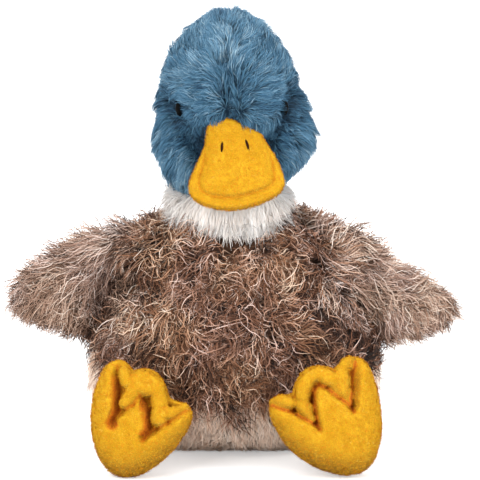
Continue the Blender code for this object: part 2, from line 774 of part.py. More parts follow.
    def bill(self):
        """Two covers sewn round a brim, with a padding in the raised middle."""
        shop, brim, edge = self.shop, BILL_BRIM, BILL_BRIM_HALF
        rings = [
            self.bill_ring(brim, 0.55, -BILL_UNDER),
            self.bill_ring(brim, 0.95, -BILL_UNDER * 0.8),
            self.bill_ring(brim / 4, 1, -edge),
            self.bill_ring(0, 1, 0),
            self.bill_ring(brim / 4, 1, edge),
            self.bill_ring(brim, 1, edge - BILL_GROOVE),
            self.bill_ring(brim, 0.82, BILL_PAD_RISE * 0.84),
            self.bill_ring(brim, 0.45, BILL_PAD_RISE),
        ]
        poles = (self.bill_pole(-BILL_UNDER), self.bill_pole(BILL_PAD_RISE))
        pad_rings = [
            self.bill_ring(brim + BILL_COVER, 0.55, -BILL_UNDER + BILL_COVER),
            self.bill_ring(brim + BILL_COVER, 0.95, 0),
            self.bill_ring(brim + BILL_COVER, 0.70, BILL_PAD_RISE - BILL_COVER * 1.3),
        ]
        pad_poles = (self.bill_pole(-BILL_UNDER + BILL_COVER), self.bill_pole(BILL_PAD_RISE - BILL_COVER))
        padding = subdivided(shop.piece("bill_padding", cage_mesh("bill_padding", pad_rings, pad_poles), self.pivot, "fibre"))
        self.bill_space = None
        space = shop.twin(padding, "bill_padding_space", SEAM_GAP)
        for name, up in (("bill_upper", 1), ("bill_lower", -1)):
            mesh = cage_mesh(name, rings, poles)
            cover = subdivided(shop.piece(name, mesh, self.pivot, "yellow"))
            if self.bill_space is None:
                self.bill_space = shop.twin(cover, "bill_space", SEAM_GAP)
            combined(cover, self.bill_half(name, -up))
            combined(cover, space)
            combined(cover, self.head_space)
        combined(padding, self.head_space)
        combined(self.neck.ruff, self.bill_space)
        self.nostrils()

    def bill_half(self, name, up):
        """A block that removes the bill's half on one side of its seam."""
        root, across, along, out = self.bill_frame()
        side = 4 * BILL_LENGTH
        mesh = bpy.data.meshes.new(name + "_half")
        shape = bmesh.new()
        bmesh.ops.create_cube(shape, size=side)
        shape.to_mesh(mesh)
        shape.free()
        axes = Matrix((along, across, out)).transposed().to_4x4()
        shift = out * up * (side / 2 - SEAM_GAP / 2)
        mesh.transform(Matrix.Translation(root + shift) @ axes)
        return self.shop.cutter(name + "_half", mesh, self.pivot)

    def nostrils(self):
        """A short raised stitch either side of the bill's middle."""
        root, across, along, out = self.bill_frame()
        bpy.context.view_layer.update()
        graph = bpy.context.evaluated_depsgraph_get()
        surface = BVHTree.FromObject(bpy.data.objects["bill_upper"], graph)
        for side, sign in SIDES.items():
            name = f"nostril_{side}"
            curve = bpy.data.curves.new(name, "CURVE")
            curve.dimensions = "3D"
            curve.bevel_depth = NOSTRIL_RADIUS
            curve.bevel_resolution = 1
            curve.use_fill_caps = True
            spline = curve.splines.new("POLY")
            spline.points.add(2)
            start = root + across * (NOSTRIL_APART / 2 * sign) + along * NOSTRIL_FROM_ROOT
            course = (along + across * math.tan(NOSTRIL_SPLAY) * sign).normalized() * NOSTRIL_LENGTH
            for share, point in zip((0, 0.5, 1), spline.points):
                above = start + course * share + out * BILL_LENGTH - self.joint
                place = surface.ray_cast(above, -out)[0] + out * (NOSTRIL_RADIUS + SEAM_GAP)
                point.co = (*place, 1)
            made = added(name, curve, self.shop.parts)
            made.parent = self.pivot
            made.data.materials.append(self.shop.finishes["thread"])


class Wing:
    """A padded wing, sewn to the body down a slanting seam that it folds about."""

    def __init__(self, shop, body, side, sign):
        self.shop, self.side, self.sign = shop, side, sign
        high = BODY_HEIGHT - WING_SEAM_BELOW_TOP
        top, bottom = self.seam_end(high), self.seam_end(high - WING_SEAM_DROP)
        self.joint, self.axis = (top + bottom) / 2, (bottom - top).normalized()
        self.half_seam = (bottom - top).length / 2
        self.pivot = shop.pivot(f"wing_{side}_fold", self.joint, shop.duck)
        self.piece = subdivided(shop.piece(f"wing_{side}", self.form(), self.pivot, "shaggy"))
        for angle in WING_FOLD_STEPS:
            name = f"body_beside_wing_{side}_{round(math.degrees(angle))}"
            combined(self.piece, swung_twin(shop, body.cover, name, SEAM_GAP, self.joint, self.axis, -angle * sign))

    def seam_end(self, height):
        """A point of the seam, just proud of the body's side."""
        return Vector(((body_width_at(height) + WING_SEAM_PROUD) * self.sign, 0, height))

    def form(self):
        """The wing's sections from the seam out to the tip."""
        droop = WING_DROOP + WING_EXTRA_DROOP[self.side]
        span = Vector((math.cos(droop) * self.sign, 0, -math.sin(droop)))
        chord_root = -self.axis
        chord_tip = Vector((math.sin(droop) * self.sign, 0, math.cos(droop)))
        rings = []
        for far, full, thick in WING_SECTION_SHARES:
            chord = chord_root.lerp(chord_tip, min(1, far * 1.6)).normalized() * (self.half_seam * full)
            depth = Vector((0, WING_THICKNESS / 2 * thick, 0))
            rings.append(oval_ring(self.joint + span * (WING_SPAN * far), chord, depth, depth, LIMB_SIDES))
        start = self.joint - span * (WING_ROOT_THICKNESS / 2)
        return cage_mesh(f"wing_{self.side}", rings, (start, self.joint + span * WING_SPAN))


class Leg:
    """A short leg with a ball at the hip and at the ankle, and the foot sewn to it."""

    def __init__(self, shop, body, side, sign):
        self.shop, self.body, self.side, self.sign = shop, body, side, sign
        share = HIP_HEIGHT / BODY_HEIGHT
        wide = HIP_HALF_WIDTH * section_value(BODY_SECTION_SHARES, 1, share) * math.sin(HIP_TURN)
        ahead = BELLY_FRONT * section_value(BODY_SECTION_SHARES, 2, share) * math.cos(HIP_TURN)
        self.hip = Vector((wide * sign, -ahead, HIP_HEIGHT))
        behind = self.foot_axes()[2] * (UPPER_BULGE + ANKLE_PROUD)
        self.ankle = Vector((FOOT_SPREAD * sign, -ahead - LEG_LENGTH, self.foot_height() - behind.z))
        self.foot_centre = self.ankle + behind
        self.hip_pivot = shop.pivot(f"leg_{side}_swing", self.hip, shop.duck)
        self.ankle_pivot = shop.pivot(f"foot_{side}_flop", self.ankle, self.hip_pivot)
        self.foot()
        self.leg()

    def leg(self):
        """The swelling shaft, joined to its two balls."""
        shop, side = self.shop, self.side
        way = self.ankle - self.hip
        ahead = way.normalized()
        first = Vector((1, 0, 0))
        second = ahead.cross(first).normalized()
        rings = []
        for far, full in LEG_SECTION_SHARES:
            reach = LEG_RADIUS * full
            rings.append(oval_ring(self.hip + way * far, first * reach, second * reach, second * reach, LIMB_SIDES))
        poles = (self.hip - ahead * (HIP_BALL / 4), self.ankle + ahead * (ANKLE_BALL / 4))
        made = subdivided(shop.piece(f"leg_{side}", cage_mesh(f"leg_{side}", rings, poles), self.hip_pivot, "cream"))
        x_axis = Vector((1, 0, 0))
        for angle in LEG_SWING_STEPS:
            name = f"body_beside_leg_{side}_{round(math.degrees(angle))}"
            combined(made, swung_twin(shop, self.body.cover, name, SEAM_GAP, self.hip, x_axis, -angle))
        for angle in FOOT_FLOP_STEPS:
            name = f"foot_beside_leg_{side}_{round(math.degrees(angle))}"
            combined(made, self.swung_foot(name, angle))
        for name, place, ball in (("hip", self.hip, HIP_BALL), ("ankle", self.ankle, ANKLE_BALL)):
            combined(made, self.ball_cutter(f"{name}_ball_{side}", place, ball), "UNION")
        combined(made, self.body.floor)
        socket = self.ball_cutter(f"hip_socket_{side}", self.hip, socket_radius(HIP_BALL, SEAM_GAP))
        combined(self.body.cover, socket)
        combined(self.body.stuffing, socket)

    def swung_foot(self, name, angle):
        """The foot's whole form, grown by the gap and turned about the ankle."""
        mesh = self.whole.copy()
        turn = Matrix.Rotation(angle, 4, "X")
        mesh.transform(Matrix.Translation(self.ankle) @ turn @ Matrix.Translation(-self.ankle))
        return grown(subdivided(self.shop.cutter(name, mesh, self.hip_pivot)), FLOP_GAP)

    def ball_cutter(self, name, place, radius):
        """A ball at a joint, as a helper."""
        mesh = ball_mesh(name, radius)
        mesh.transform(Matrix.Translation(place))
        return self.shop.cutter(name, mesh, self.hip_pivot)

    def foot_axes(self):
        """Outwards, upwards and forwards through the sole."""
        lean = Matrix.Rotation(-FOOT_LEAN, 3, "X")
        yaw = Matrix.Rotation(FOOT_YAW * self.sign, 3, "Z")
        turn = yaw @ lean
        return turn @ Vector((self.sign, 0, 0)), turn @ Vector((0, 0, 1)), turn @ Vector((0, -1, 0))

    def foot_height(self):
        """The height of the foot's centre that sinks its heel by the flat cut."""
        return -FLAT_CUT - min(self.foot_spoke(row).z for row in FOOT_OUTLINE_SHARES)

    def foot_spoke(self, row):
        """From the foot's centre to its outline, in this direction."""
        across, up, _ = self.foot_axes()
        turn = math.radians(row[0])
        return (across * math.cos(turn) + up * math.sin(turn)) * (FOOT_REACH * row[1])

    def foot_ring(self, share, height):
        """The foot's outline at a share of its reach and a height through the sole."""
        forward = self.foot_axes()[2]
        return [
            self.foot_centre + self.foot_spoke(row) * share + forward * (height * row[2])
            for row in FOOT_OUTLINE_SHARES
        ]

    def foot(self):
        """The sole and the upper, sewn round the foot's outline, with the ankle's socket in the upper."""
        shop, side = self.shop, self.side
        rings = [
            self.foot_ring(0.50, -UPPER_BULGE),
            self.foot_ring(0.88, -UPPER_BULGE * 0.6),
            self.foot_ring(1.00, 0),
            self.foot_ring(0.88, SOLE_BULGE * 0.7),
            self.foot_ring(0.46, SOLE_BULGE),
        ]
        forward = self.foot_axes()[2]
        poles = (self.foot_centre - forward * UPPER_BULGE, self.foot_centre + forward * SOLE_BULGE)
        self.whole = cage_mesh(f"foot_{side}", rings, poles)
        mesh = ball_mesh(f"ankle_socket_{side}", socket_radius(ANKLE_BALL, SEAM_GAP))
        mesh.transform(Matrix.Translation(self.ankle))
        socket = shop.cutter(f"ankle_socket_{side}", mesh, self.ankle_pivot)
        for name, ahead in ((f"foot_sole_{side}", 1), (f"foot_upper_{side}", -1)):
            made = subdivided(shop.piece(name, cage_mesh(name, rings, poles), self.ankle_pivot, "yellow"))
            combined(made, self.foot_half(name, -ahead))
            combined(made, self.body.floor)
            if ahead < 0:
                combined(made, socket)

    def foot_half(self, name, ahead):
        """A block that removes the half of the foot on one side of its seam."""
        _, up, forward = self.foot_axes()
        side = 4 * FOOT_REACH
        mesh = bpy.data.meshes.new(name + "_half")
        shape = bmesh.new()
        bmesh.ops.create_cube(shape, size=side)
        shape.to_mesh(mesh)
        shape.free()
        axes = Matrix((up.cross(forward), up, forward)).transposed().to_4x4()
        shift = forward * ahead * (side / 2 - SEAM_GAP / 2)
        mesh.transform(Matrix.Translation(self.foot_centre + shift) @ axes)
        return self.shop.cutter(name + "_half", mesh, self.ankle_pivot)


class Tail:
    """A small flat tail, sewn to the rump."""

    def __init__(self, shop, body):
        share = TAIL_HEIGHT / BODY_HEIGHT
        back = RUMP_BACK * section_value(BODY_SECTION_SHARES, 3, share)
        joint = Vector((0, back, TAIL_HEIGHT))
        pivot = shop.pivot("tail_lift", joint, shop.duck)
        ahead = Vector((0, math.cos(TAIL_RISE), math.sin(TAIL_RISE)))
        first = Vector((TAIL_HALF_WIDTH, 0, 0))
        second = Vector((0, -math.sin(TAIL_RISE), math.cos(TAIL_RISE))) * (TAIL_THICKNESS / 2)
        rings = [
            oval_ring(joint + ahead * (TAIL_LENGTH * far), first * wide, second * thick, second * thick, LIMB_SIDES)
            for far, wide, thick in TAIL_SECTION_SHARES
        ]
        poles = (joint - ahead * (TAIL_THICKNESS / 2), joint + ahead * TAIL_LENGTH)
        piece = subdivided(shop.piece("tail", cage_mesh("tail", rings, poles), pivot, "shaggy"))
        for angle in TAIL_LIFT_STEPS:
            name = f"body_beside_tail_{round(math.degrees(angle))}"
            combined(piece, swung_twin(shop, body.cover, name, SEAM_GAP, joint, Vector((1, 0, 0)), -angle))


def main():
    """Builds the duck from the body out."""
    shop = Workshop()
    body = Body(shop)
    neck = Neck(shop, body)
    Head(shop, neck)
    for side, sign in SIDES.items():
        Wing(shop, body, side, sign)
        Leg(shop, body, side, sign)
    Tail(shop, body)
    for piece in shop.parts.objects:
        if piece.type == "MESH":
            piece.data.set_sharp_from_angle(angle=math.radians(50))


main()
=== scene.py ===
"""Looks of a plush duck: skins filled out by cloth, pile grown strand by strand, short-pile bill and feet."""

import json
import logging
import math
from collections.abc import Callable
from dataclasses import dataclass, replace
from enum import Enum
from typing import Protocol

import bmesh
import bpy
import numpy as np
from mathutils import Matrix, Vector
from mathutils.kdtree import KDTree


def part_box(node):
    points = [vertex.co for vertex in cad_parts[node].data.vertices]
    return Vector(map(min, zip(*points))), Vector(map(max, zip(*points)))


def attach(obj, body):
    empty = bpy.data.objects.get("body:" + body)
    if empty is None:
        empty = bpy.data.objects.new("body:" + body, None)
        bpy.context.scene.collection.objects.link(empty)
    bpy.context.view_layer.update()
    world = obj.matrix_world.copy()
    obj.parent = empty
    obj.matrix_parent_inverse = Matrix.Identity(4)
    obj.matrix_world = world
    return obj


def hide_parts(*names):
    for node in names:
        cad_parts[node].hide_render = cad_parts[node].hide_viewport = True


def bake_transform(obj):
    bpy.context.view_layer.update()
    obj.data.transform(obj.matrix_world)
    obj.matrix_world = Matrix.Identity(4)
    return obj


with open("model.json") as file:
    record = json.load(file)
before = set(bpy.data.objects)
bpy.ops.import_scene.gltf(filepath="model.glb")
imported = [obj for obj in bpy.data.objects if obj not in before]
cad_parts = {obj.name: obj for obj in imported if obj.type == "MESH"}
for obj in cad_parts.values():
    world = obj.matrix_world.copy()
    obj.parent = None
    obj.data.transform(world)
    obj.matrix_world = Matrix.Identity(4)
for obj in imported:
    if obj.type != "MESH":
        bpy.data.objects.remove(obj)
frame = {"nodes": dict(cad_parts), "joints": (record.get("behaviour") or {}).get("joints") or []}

LOG = logging.getLogger("plush_duck")
MM = 0.001
CM2 = 0.0001
STRAND_MAP = "OFBake"
MULTIPLY = {"data_type": "RGBA", "blend_type": "MULTIPLY"}
CLOTH_FRAMES = 20
# How near the floor a skin, a foot's skin and a strand may come.
SKIN_FLOOR, FOOT_FLOOR, STRAND_FLOOR = 0.3 * MM, 0.4 * MM, 0.6 * MM

Field = Callable[[np.ndarray, np.ndarray], np.ndarray]
Line = tuple[tuple[float, float], ...]
Stops = tuple[tuple[float, str], ...]
Three = tuple[float, float, float]


class Side(Enum):
    """The duck's own sides, with the sign of X there."""

    LEFT = 1
    RIGHT = -1

    @property
    def word(self) -> str:
        """The side's word in the frame's names."""
        return self.name.lower()


def colour(code: str) -> tuple[float, float, float, float]:
    """Turns an sRGB hex code into linear red, green, blue and alpha.

    Args:
        code: six hex digits, such as "fbb515".

    Returns:
        The linear colour with alpha 1.
    """
    parts = [int(code[i : i + 2], 16) / 255 for i in (0, 2, 4)]
    linear = [part / 12.92 if part <= 0.04045 else ((part + 0.055) / 1.055) ** 2.4 for part in parts]
    return (*linear, 1.0)


def add_node(
    tree: bpy.types.NodeTree, kind: str, settings: dict | None = None, links: dict | None = None
) -> bpy.types.Node:
    """Adds a shader node.

    Args:
        tree: the material's node tree.
        kind: the node's type, such as "ShaderNodeTexNoise".
        settings: attributes of the node, by name.
        links: for each input, by name or index, a value or the socket that feeds it.

    Returns:
        The new node.
    """
    made = tree.nodes.new(kind)
    for name, value in (settings or {}).items():
        setattr(made, name, value)
    for name, value in (links or {}).items():
        if isinstance(value, bpy.types.NodeSocket):
            tree.links.new(value, made.inputs[name])
        else:
            made.inputs[name].default_value = value
    return made


def set_stops(ramp: bpy.types.Node, stops: Stops) -> None:
    """Gives a colour ramp its stops.

    Args:
        ramp: the Color Ramp node.
        stops: each stop's place from 0 to 1 and its hex code.
    """
    row = ramp.color_ramp.elements
    while len(row) < len(stops):
        row.new(1.0)
    for stop, (place, code) in zip(row, stops):
        stop.position = place
        stop.color = colour(code)


def new_material(name: str, values: dict) -> tuple[bpy.types.Material, bpy.types.NodeTree, bpy.types.Node]:
    """Makes a material with one Principled shader.

    Args:
        name: what the material is.
        values: the shader's even values, by input.

    Returns:
        The material, its tree and its shader.
    """
    made = bpy.data.materials.new(name)
    made.use_nodes = True
    shader = made.node_tree.nodes["Principled BSDF"]
    for key, value in values.items():
        shader.inputs[key].default_value = value
    return made, made.node_tree, shader


def mottle(
    tree: bpy.types.NodeTree, patch_mm: float, detail: float, stops: Stops
) -> tuple[bpy.types.NodeSocket, bpy.types.NodeSocket]:
    """Lays cloudy patches over a piece.

    Args:
        tree: the material's node tree.
        patch_mm: the patches' size.
        detail: how finely they are broken up.
        stops: their colours, as for set_stops.

    Returns:
        The patches' height and their colour.
    """
    place = add_node(tree, "ShaderNodeTexCoord").outputs["Object"]
    noise = add_node(
        tree, "ShaderNodeTexNoise", links={"Vector": place, "Scale": 1 / (patch_mm * MM), "Detail": detail}
    )
    ramp = add_node(tree, "ShaderNodeValToRGB", links={"Fac": noise.outputs["Fac"]})
    set_stops(ramp, stops)
    return noise.outputs["Fac"], ramp.outputs["Color"]


class Finish(Protocol):
    """What a piece is dressed in."""

    def material(self) -> bpy.types.Material:
        """Builds the finish."""


@dataclass(frozen=True)
class PileFinish:
    """Knitted pile yarn: each strand has its shade from the dye lot, and is painted darker towards its root as
    painted shade between the strands.

    The strand map holds the shade across and the way from root to tip upwards. The tints change over the cloth where
    the dye took unevenly.
    """

    name: str
    shades: Stops
    tints: tuple[str, str] = ("ffffff", "ffffff")
    tint_mm: float = 34.0
    root_share: float = 0.35
    roughness: float = 0.7
    shine: float = 0.25
    sheen: float = 0.0

    def material(self) -> bpy.types.Material:
        """Builds the finish.

        Returns:
            The material for strands of this pile.
        """
        made, tree, shader = new_material(
            self.name, {"Roughness": self.roughness, "Specular IOR Level": self.shine, "Sheen Weight": self.sheen}
        )
        place = add_node(tree, "ShaderNodeUVMap", {"uv_map": STRAND_MAP})
        split = add_node(tree, "ShaderNodeSeparateXYZ", links={"Vector": place.outputs["UV"]})
        shade = add_node(tree, "ShaderNodeValToRGB", links={"Fac": split.outputs["X"]})
        set_stops(shade, self.shades)
        # Painted shade: towards its root a strand's colour drops to root_share of itself.
        lit = add_node(
            tree,
            "ShaderNodeMapRange",
            {"interpolation_type": "SMOOTHSTEP"},
            {"Value": split.outputs["Y"], "From Max": 0.7, "To Min": self.root_share, "To Max": 1.0},
        )
        toned = add_node(
            tree, "ShaderNodeMix", MULTIPLY, {"Factor": 1.0, 6: shade.outputs["Color"], 7: lit.outputs["Result"]}
        )
        _, tint = mottle(tree, self.tint_mm, 1.0, ((0.4, self.tints[0]), (0.6, self.tints[1])))
        tinted = add_node(tree, "ShaderNodeMix", MULTIPLY, {"Factor": 1.0, 6: toned.outputs[2], 7: tint})
        tree.links.new(tinted.outputs[2], shader.inputs["Base Color"])
        return made


@dataclass(frozen=True)
class MottledFinish:
    """Matt cloth or fibre whose shade varies in patches: the knit between strands, calico or loose stuffing."""

    name: str
    dark: str
    light: str
    patch_mm: float = 4.0
    detail: float = 4.0
    spread: float = 0.15
    shine: float = 0.1

    def material(self) -> bpy.types.Material:
        """Builds the finish.

        Returns:
            The material of the cloth or the fibre.
        """
        made, tree, shader = new_material(self.name, {"Roughness": 0.95, "Specular IOR Level": self.shine})
        stops = ((0.5 - self.spread, self.dark), (0.5 + self.spread, self.light))
        tree.links.new(mottle(tree, self.patch_mm, self.detail, stops)[1], shader.inputs["Base Color"])
        return made


@dataclass(frozen=True)
class ShortPileFinish:
    """Short dense pile, brushed and sheared, whose fibre ends show as a fine grain; its folds and the sides that face
    down are painted darker, as painted shade.
    """

    name: str
    face: str
    lit: str
    # Painted shade: the two colours in the folds, then the colour where the surface faces down.
    folds: tuple[str, str]
    under: str
    fibre_mm: float = 0.55
    brushed_mm: float = 9.0
    sheen: float = 0.35

    def material(self) -> bpy.types.Material:
        """Builds the finish.

        Returns:
            The material of the short pile.
        """
        values = {"Roughness": 0.85, "Specular IOR Level": 0.15, "Sheen Weight": self.sheen, "Sheen Roughness": 0.4}
        made, tree, shader = new_material(self.name, values | {"Sheen Tint": colour(self.lit)})
        _, folded = mottle(tree, self.brushed_mm, 2.0, ((0.3, self.face), (0.7, self.lit)))
        # Painted shade from the marks that mark_folds writes: olive where the surface faces down, orange deeper in
        # the folds.
        for mark, face, start, end in (
            ("under", self.under, 0.0, 1.0),
            ("fold", self.folds[0], 0.0, 0.5),
            ("fold", self.folds[1], 0.45, 1.0),
        ):
            depth = add_node(tree, "ShaderNodeAttribute", {"attribute_name": mark}).outputs["Fac"]
            share = add_node(
                tree, "ShaderNodeMapRange", links={"Value": depth, "From Min": start, "From Max": end}
            ).outputs["Result"]
            mix = {"Factor": share, 6: folded, 7: colour(face)}
            folded = add_node(tree, "ShaderNodeMix", {"data_type": "RGBA"}, mix).outputs[2]
        fibre, grain = mottle(tree, self.fibre_mm, 3.0, ((0.3, "c8c8c8"), (0.62, "ffffff")))
        toned = add_node(tree, "ShaderNodeMix", MULTIPLY, {"Factor": 0.8, 6: folded, 7: grain})
        tree.links.new(toned.outputs[2], shader.inputs["Base Color"])
        bump = add_node(tree, "ShaderNodeBump", links={"Height": fibre, "Distance": 0.35 * MM, "Strength": 0.7})
        tree.links.new(bump.outputs["Normal"], shader.inputs["Normal"])
        return made


@dataclass(frozen=True)
class PlainFinish:
    """One even colour, for moulded plastic and thread."""

    name: str
    face: str
    roughness: float
    shine: float = 0.5

    def material(self) -> bpy.types.Material:
        """Builds the finish."""
        values = {"Base Color": colour(self.face), "Roughness": self.roughness, "Specular IOR Level": self.shine}
        return new_material(self.name, values)[0]


# Long crimped polyester yarn, piece-dyed: matt; its roots are painted dark as painted shade in the gaps, so that the
# ends stand pale as if lit.
BROWN_STRANDS = PileFinish(
    "shaggy taupe strands",
    ((0.0, "1e1008"), (0.22, "4a2f20"), (0.5, "82583f"), (0.78, "c1987e"), (1.0, "f4dccb")),
    tints=("f5f0f5", "fffaee"),
    root_share=0.2,
)
# A paler copy of the same yarn for the wings and shoulders, with weaker painted root shade between the locks.
PALE_STRANDS = PileFinish(
    "pale taupe strands",
    ((0.0, "39281f"), (0.22, "765a4a"), (0.5, "ad8d7b"), (0.78, "d9c0b1"), (1.0, "f8ebe1")),
    tints=("f8f4f6", "fffbf4"),
    root_share=0.25,
)
# Knitted polyester backings under their pile: flat and dull where the strands part; the brown and the blue are kept
# as dark as their pile's roots, as painted shade between the strands.
BROWN_BACKING = MottledFinish("shaggy plush backing", "25170f", "443025")
CREAM_BACKING = MottledFinish("cream plush backing", "a98670", "d4b9a6")
WHITE_BACKING = MottledFinish("white plush backing", "f0e8e0", "fbf7f2")
BLUE_BACKING = MottledFinish("slate blue plush backing", "122433", "213a4e")
# Brushed cream plush: fine and nearly even, a little warmer in the gaps, where its roots are painted darker as
# painted shade.
CREAM_STRANDS = PileFinish("cream strands", ((0.0, "be947a"), (0.4, "e6c6ae"), (1.0, "fdeee0")), root_share=0.6)
# Straight undyed plush of long staple: a silky sheen and no dark roots.
WHITE_STRANDS = PileFinish(
    "white strands", ((0.0, "fbeee4"), (0.4, "fff8f1"), (1.0, "ffffff")), root_share=1.0, sheen=0.8
)
# Plush sheared to an even length: roots painted dark in the partings as painted shade, and greyer ends.
BLUE_STRANDS = PileFinish(
    "slate blue strands",
    ((0.0, "182f3f"), (0.2, "2d516d"), (0.48, "44718d"), (0.72, "6990a9"), (1.0, "a4bfcd")),
    root_share=0.3,
)
# Sheared and brushed polyester short pile: a fine grain, soft light at the rims, orange painted shade in the folds
# and olive painted shade on the sides facing down.
YELLOW_PILE = ShortPileFinish("yellow short pile", "cc9712", "deac22", ("e4841e", "9e561a"), "9c7220")
# The loose ends of that short pile, which fray the outline; their orange lower shades serve as painted shade in the
# folds, and their roots are painted darker as painted shade.
YELLOW_NAP = PileFinish(
    "yellow nap",
    ((0.0, "c45e20"), (0.25, "dc841a"), (0.5, "d89d1c"), (0.75, "e6b732"), (1.0, "f4d26c")),
    root_share=0.75,
    roughness=0.85,
    shine=0.1,
)
# Moulded black ABS, dulled by the pile that lies before it.
BLACK_PLASTIC = PlainFinish("black eye plastic", "020202", 0.5, shine=0.05)
# Uncoloured polypropylene as it leaves the mould: off-white and half matt.
NATURAL_PLASTIC = PlainFinish("natural moulded plastic", "e2e0da", 0.45)
# Carded polyester fibre, uncoloured: white, with soft grey patches painted as the shade in its hollows.
FIBRE = MottledFinish("neck fibre", "dcdcd8", "f6f6f4", patch_mm=1.5, detail=6.0, spread=0.2, shine=0.5)
# Plain unbleached cotton weave: warm off-white, its threads a fine unevenness.
CALICO = replace(FIBRE, name="calico of the pellet bag", dark="c9c1b2", light="e4ddcf", patch_mm=0.5)
# Twisted embroidery thread: dark, with hardly any shine at this distance.
BROWN_THREAD = PlainFinish("dark brown thread", "2c1208", 0.8, shine=0.05)


def read(rows: bpy.types.bpy_prop_collection, key: str, width: int = 3, kind: type = np.float32) -> np.ndarray:
    """Reads one property of all rows of a mesh.

    Args:
        rows: the mesh's vertices, edges or other rows.
        key: the property's name.
        width: how many numbers it has.
        kind: the numbers' type.

    Returns:
        One row of numbers for each row of the mesh.
    """
    values = np.empty(len(rows) * width, kind)
    rows.foreach_get(key, values)
    return values.reshape(-1, width)


@dataclass
class Surface:
    """A skin's shape as numbers, in the row frame."""

    points: np.ndarray
    normals: np.ndarray
    triangles: np.ndarray

    @staticmethod
    def of(obj: bpy.types.Object) -> "Surface":
        """Reads an object as it is shown.

        Args:
            obj: a mesh object.

        Returns:
            Its points, normals and triangles.
        """
        bpy.context.view_layer.update()
        shown = obj.evaluated_get(bpy.context.evaluated_depsgraph_get())
        mesh = shown.to_mesh()
        mesh.calc_loop_triangles()
        world = np.array(obj.matrix_world)
        points = read(mesh.vertices, "co") @ world[:3, :3].T + world[:3, 3]
        normals = unit(read(mesh.vertices, "normal") @ world[:3, :3].T)
        triangles = read(mesh.loop_triangles, "vertices", kind=np.int32)
        shown.to_mesh_clear()
        return Surface(points, normals, triangles)


def unit(rows: np.ndarray) -> np.ndarray:
    """Scales vectors to length 1.

    Args:
        rows: vectors along the last axis.

    Returns:
        The same directions with length 1.
    """
    return rows / np.maximum(np.linalg.norm(rows, axis=-1, keepdims=True), 1e-12)


def smooth(value: np.ndarray, low: float, high: float) -> np.ndarray:
    """Rises from 0 at low to 1 at high with no kink.

    Args:
        value: where to read it.
        low: where it leaves 0.
        high: where it reaches 1.

    Returns:
        The step's height at each value.
    """
    share = np.clip((value - low) / (high - low), 0, 1)
    return share * share * (3 - 2 * share)


def add_object(name: str, data: bpy.types.ID) -> bpy.types.Object:
    """Links a new object with this mesh, curve, lamp or lens to the scene."""
    made = bpy.data.objects.new(name, data)
    bpy.context.scene.collection.objects.link(made)
    return made


def mesh_object(name: str, points: np.ndarray, faces: np.ndarray) -> bpy.types.Object:
    """Makes a mesh object from numbers.

    Args:
        name: the piece's name.
        points: one row of X, Y and Z for each vertex.
        faces: one row of vertex numbers for each face.

    Returns:
        The object, linked to the scene.
    """
    mesh = bpy.data.meshes.new(name)
    corners = faces.shape[1]
    mesh.vertices.add(len(points))
    mesh.vertices.foreach_set("co", points.astype(np.float32).ravel())
    mesh.loops.add(faces.size)
    mesh.loops.foreach_set("vertex_index", faces.astype(np.int32).ravel())
    mesh.polygons.add(len(faces))
    mesh.polygons.foreach_set("loop_start", np.arange(0, faces.size, corners, dtype=np.int32))
    mesh.update(calc_edges=True)
    mesh.shade_smooth()
    return add_object(name, mesh)


def everywhere(points: np.ndarray, _: np.ndarray) -> np.ndarray:
    """Gives 1 at each point, as the whole of a share."""
    return np.ones(len(points))


def nowhere(points: np.ndarray, _: np.ndarray) -> np.ndarray:
    """Gives 0 at each point, as no change."""
    return np.zeros(len(points))


def steady(*way: float) -> Field:
    """Combs a pile the same way everywhere.

    Args:
        way: along X, Y and Z.

    Returns:
        The way of the pile, as a field.
    """
    return lambda points, _: np.tile(way, (len(points), 1))


@dataclass(frozen=True)
class Lay:
    """Where a pile stands on its skin and how it lies there, each as a field over roots and normals.

    No strand passes where the pile is parted.
    """

    comb: Field
    where: Field = everywhere
    cut: Field = everywhere
    lift: Field = nowhere
    # Added to the strands' shade: painted shade in gaps, folds and creases, painted light on the head's upper sides,
    # and some plain differences of tone.
    tone: Field = nowhere
    parted: Field = nowhere


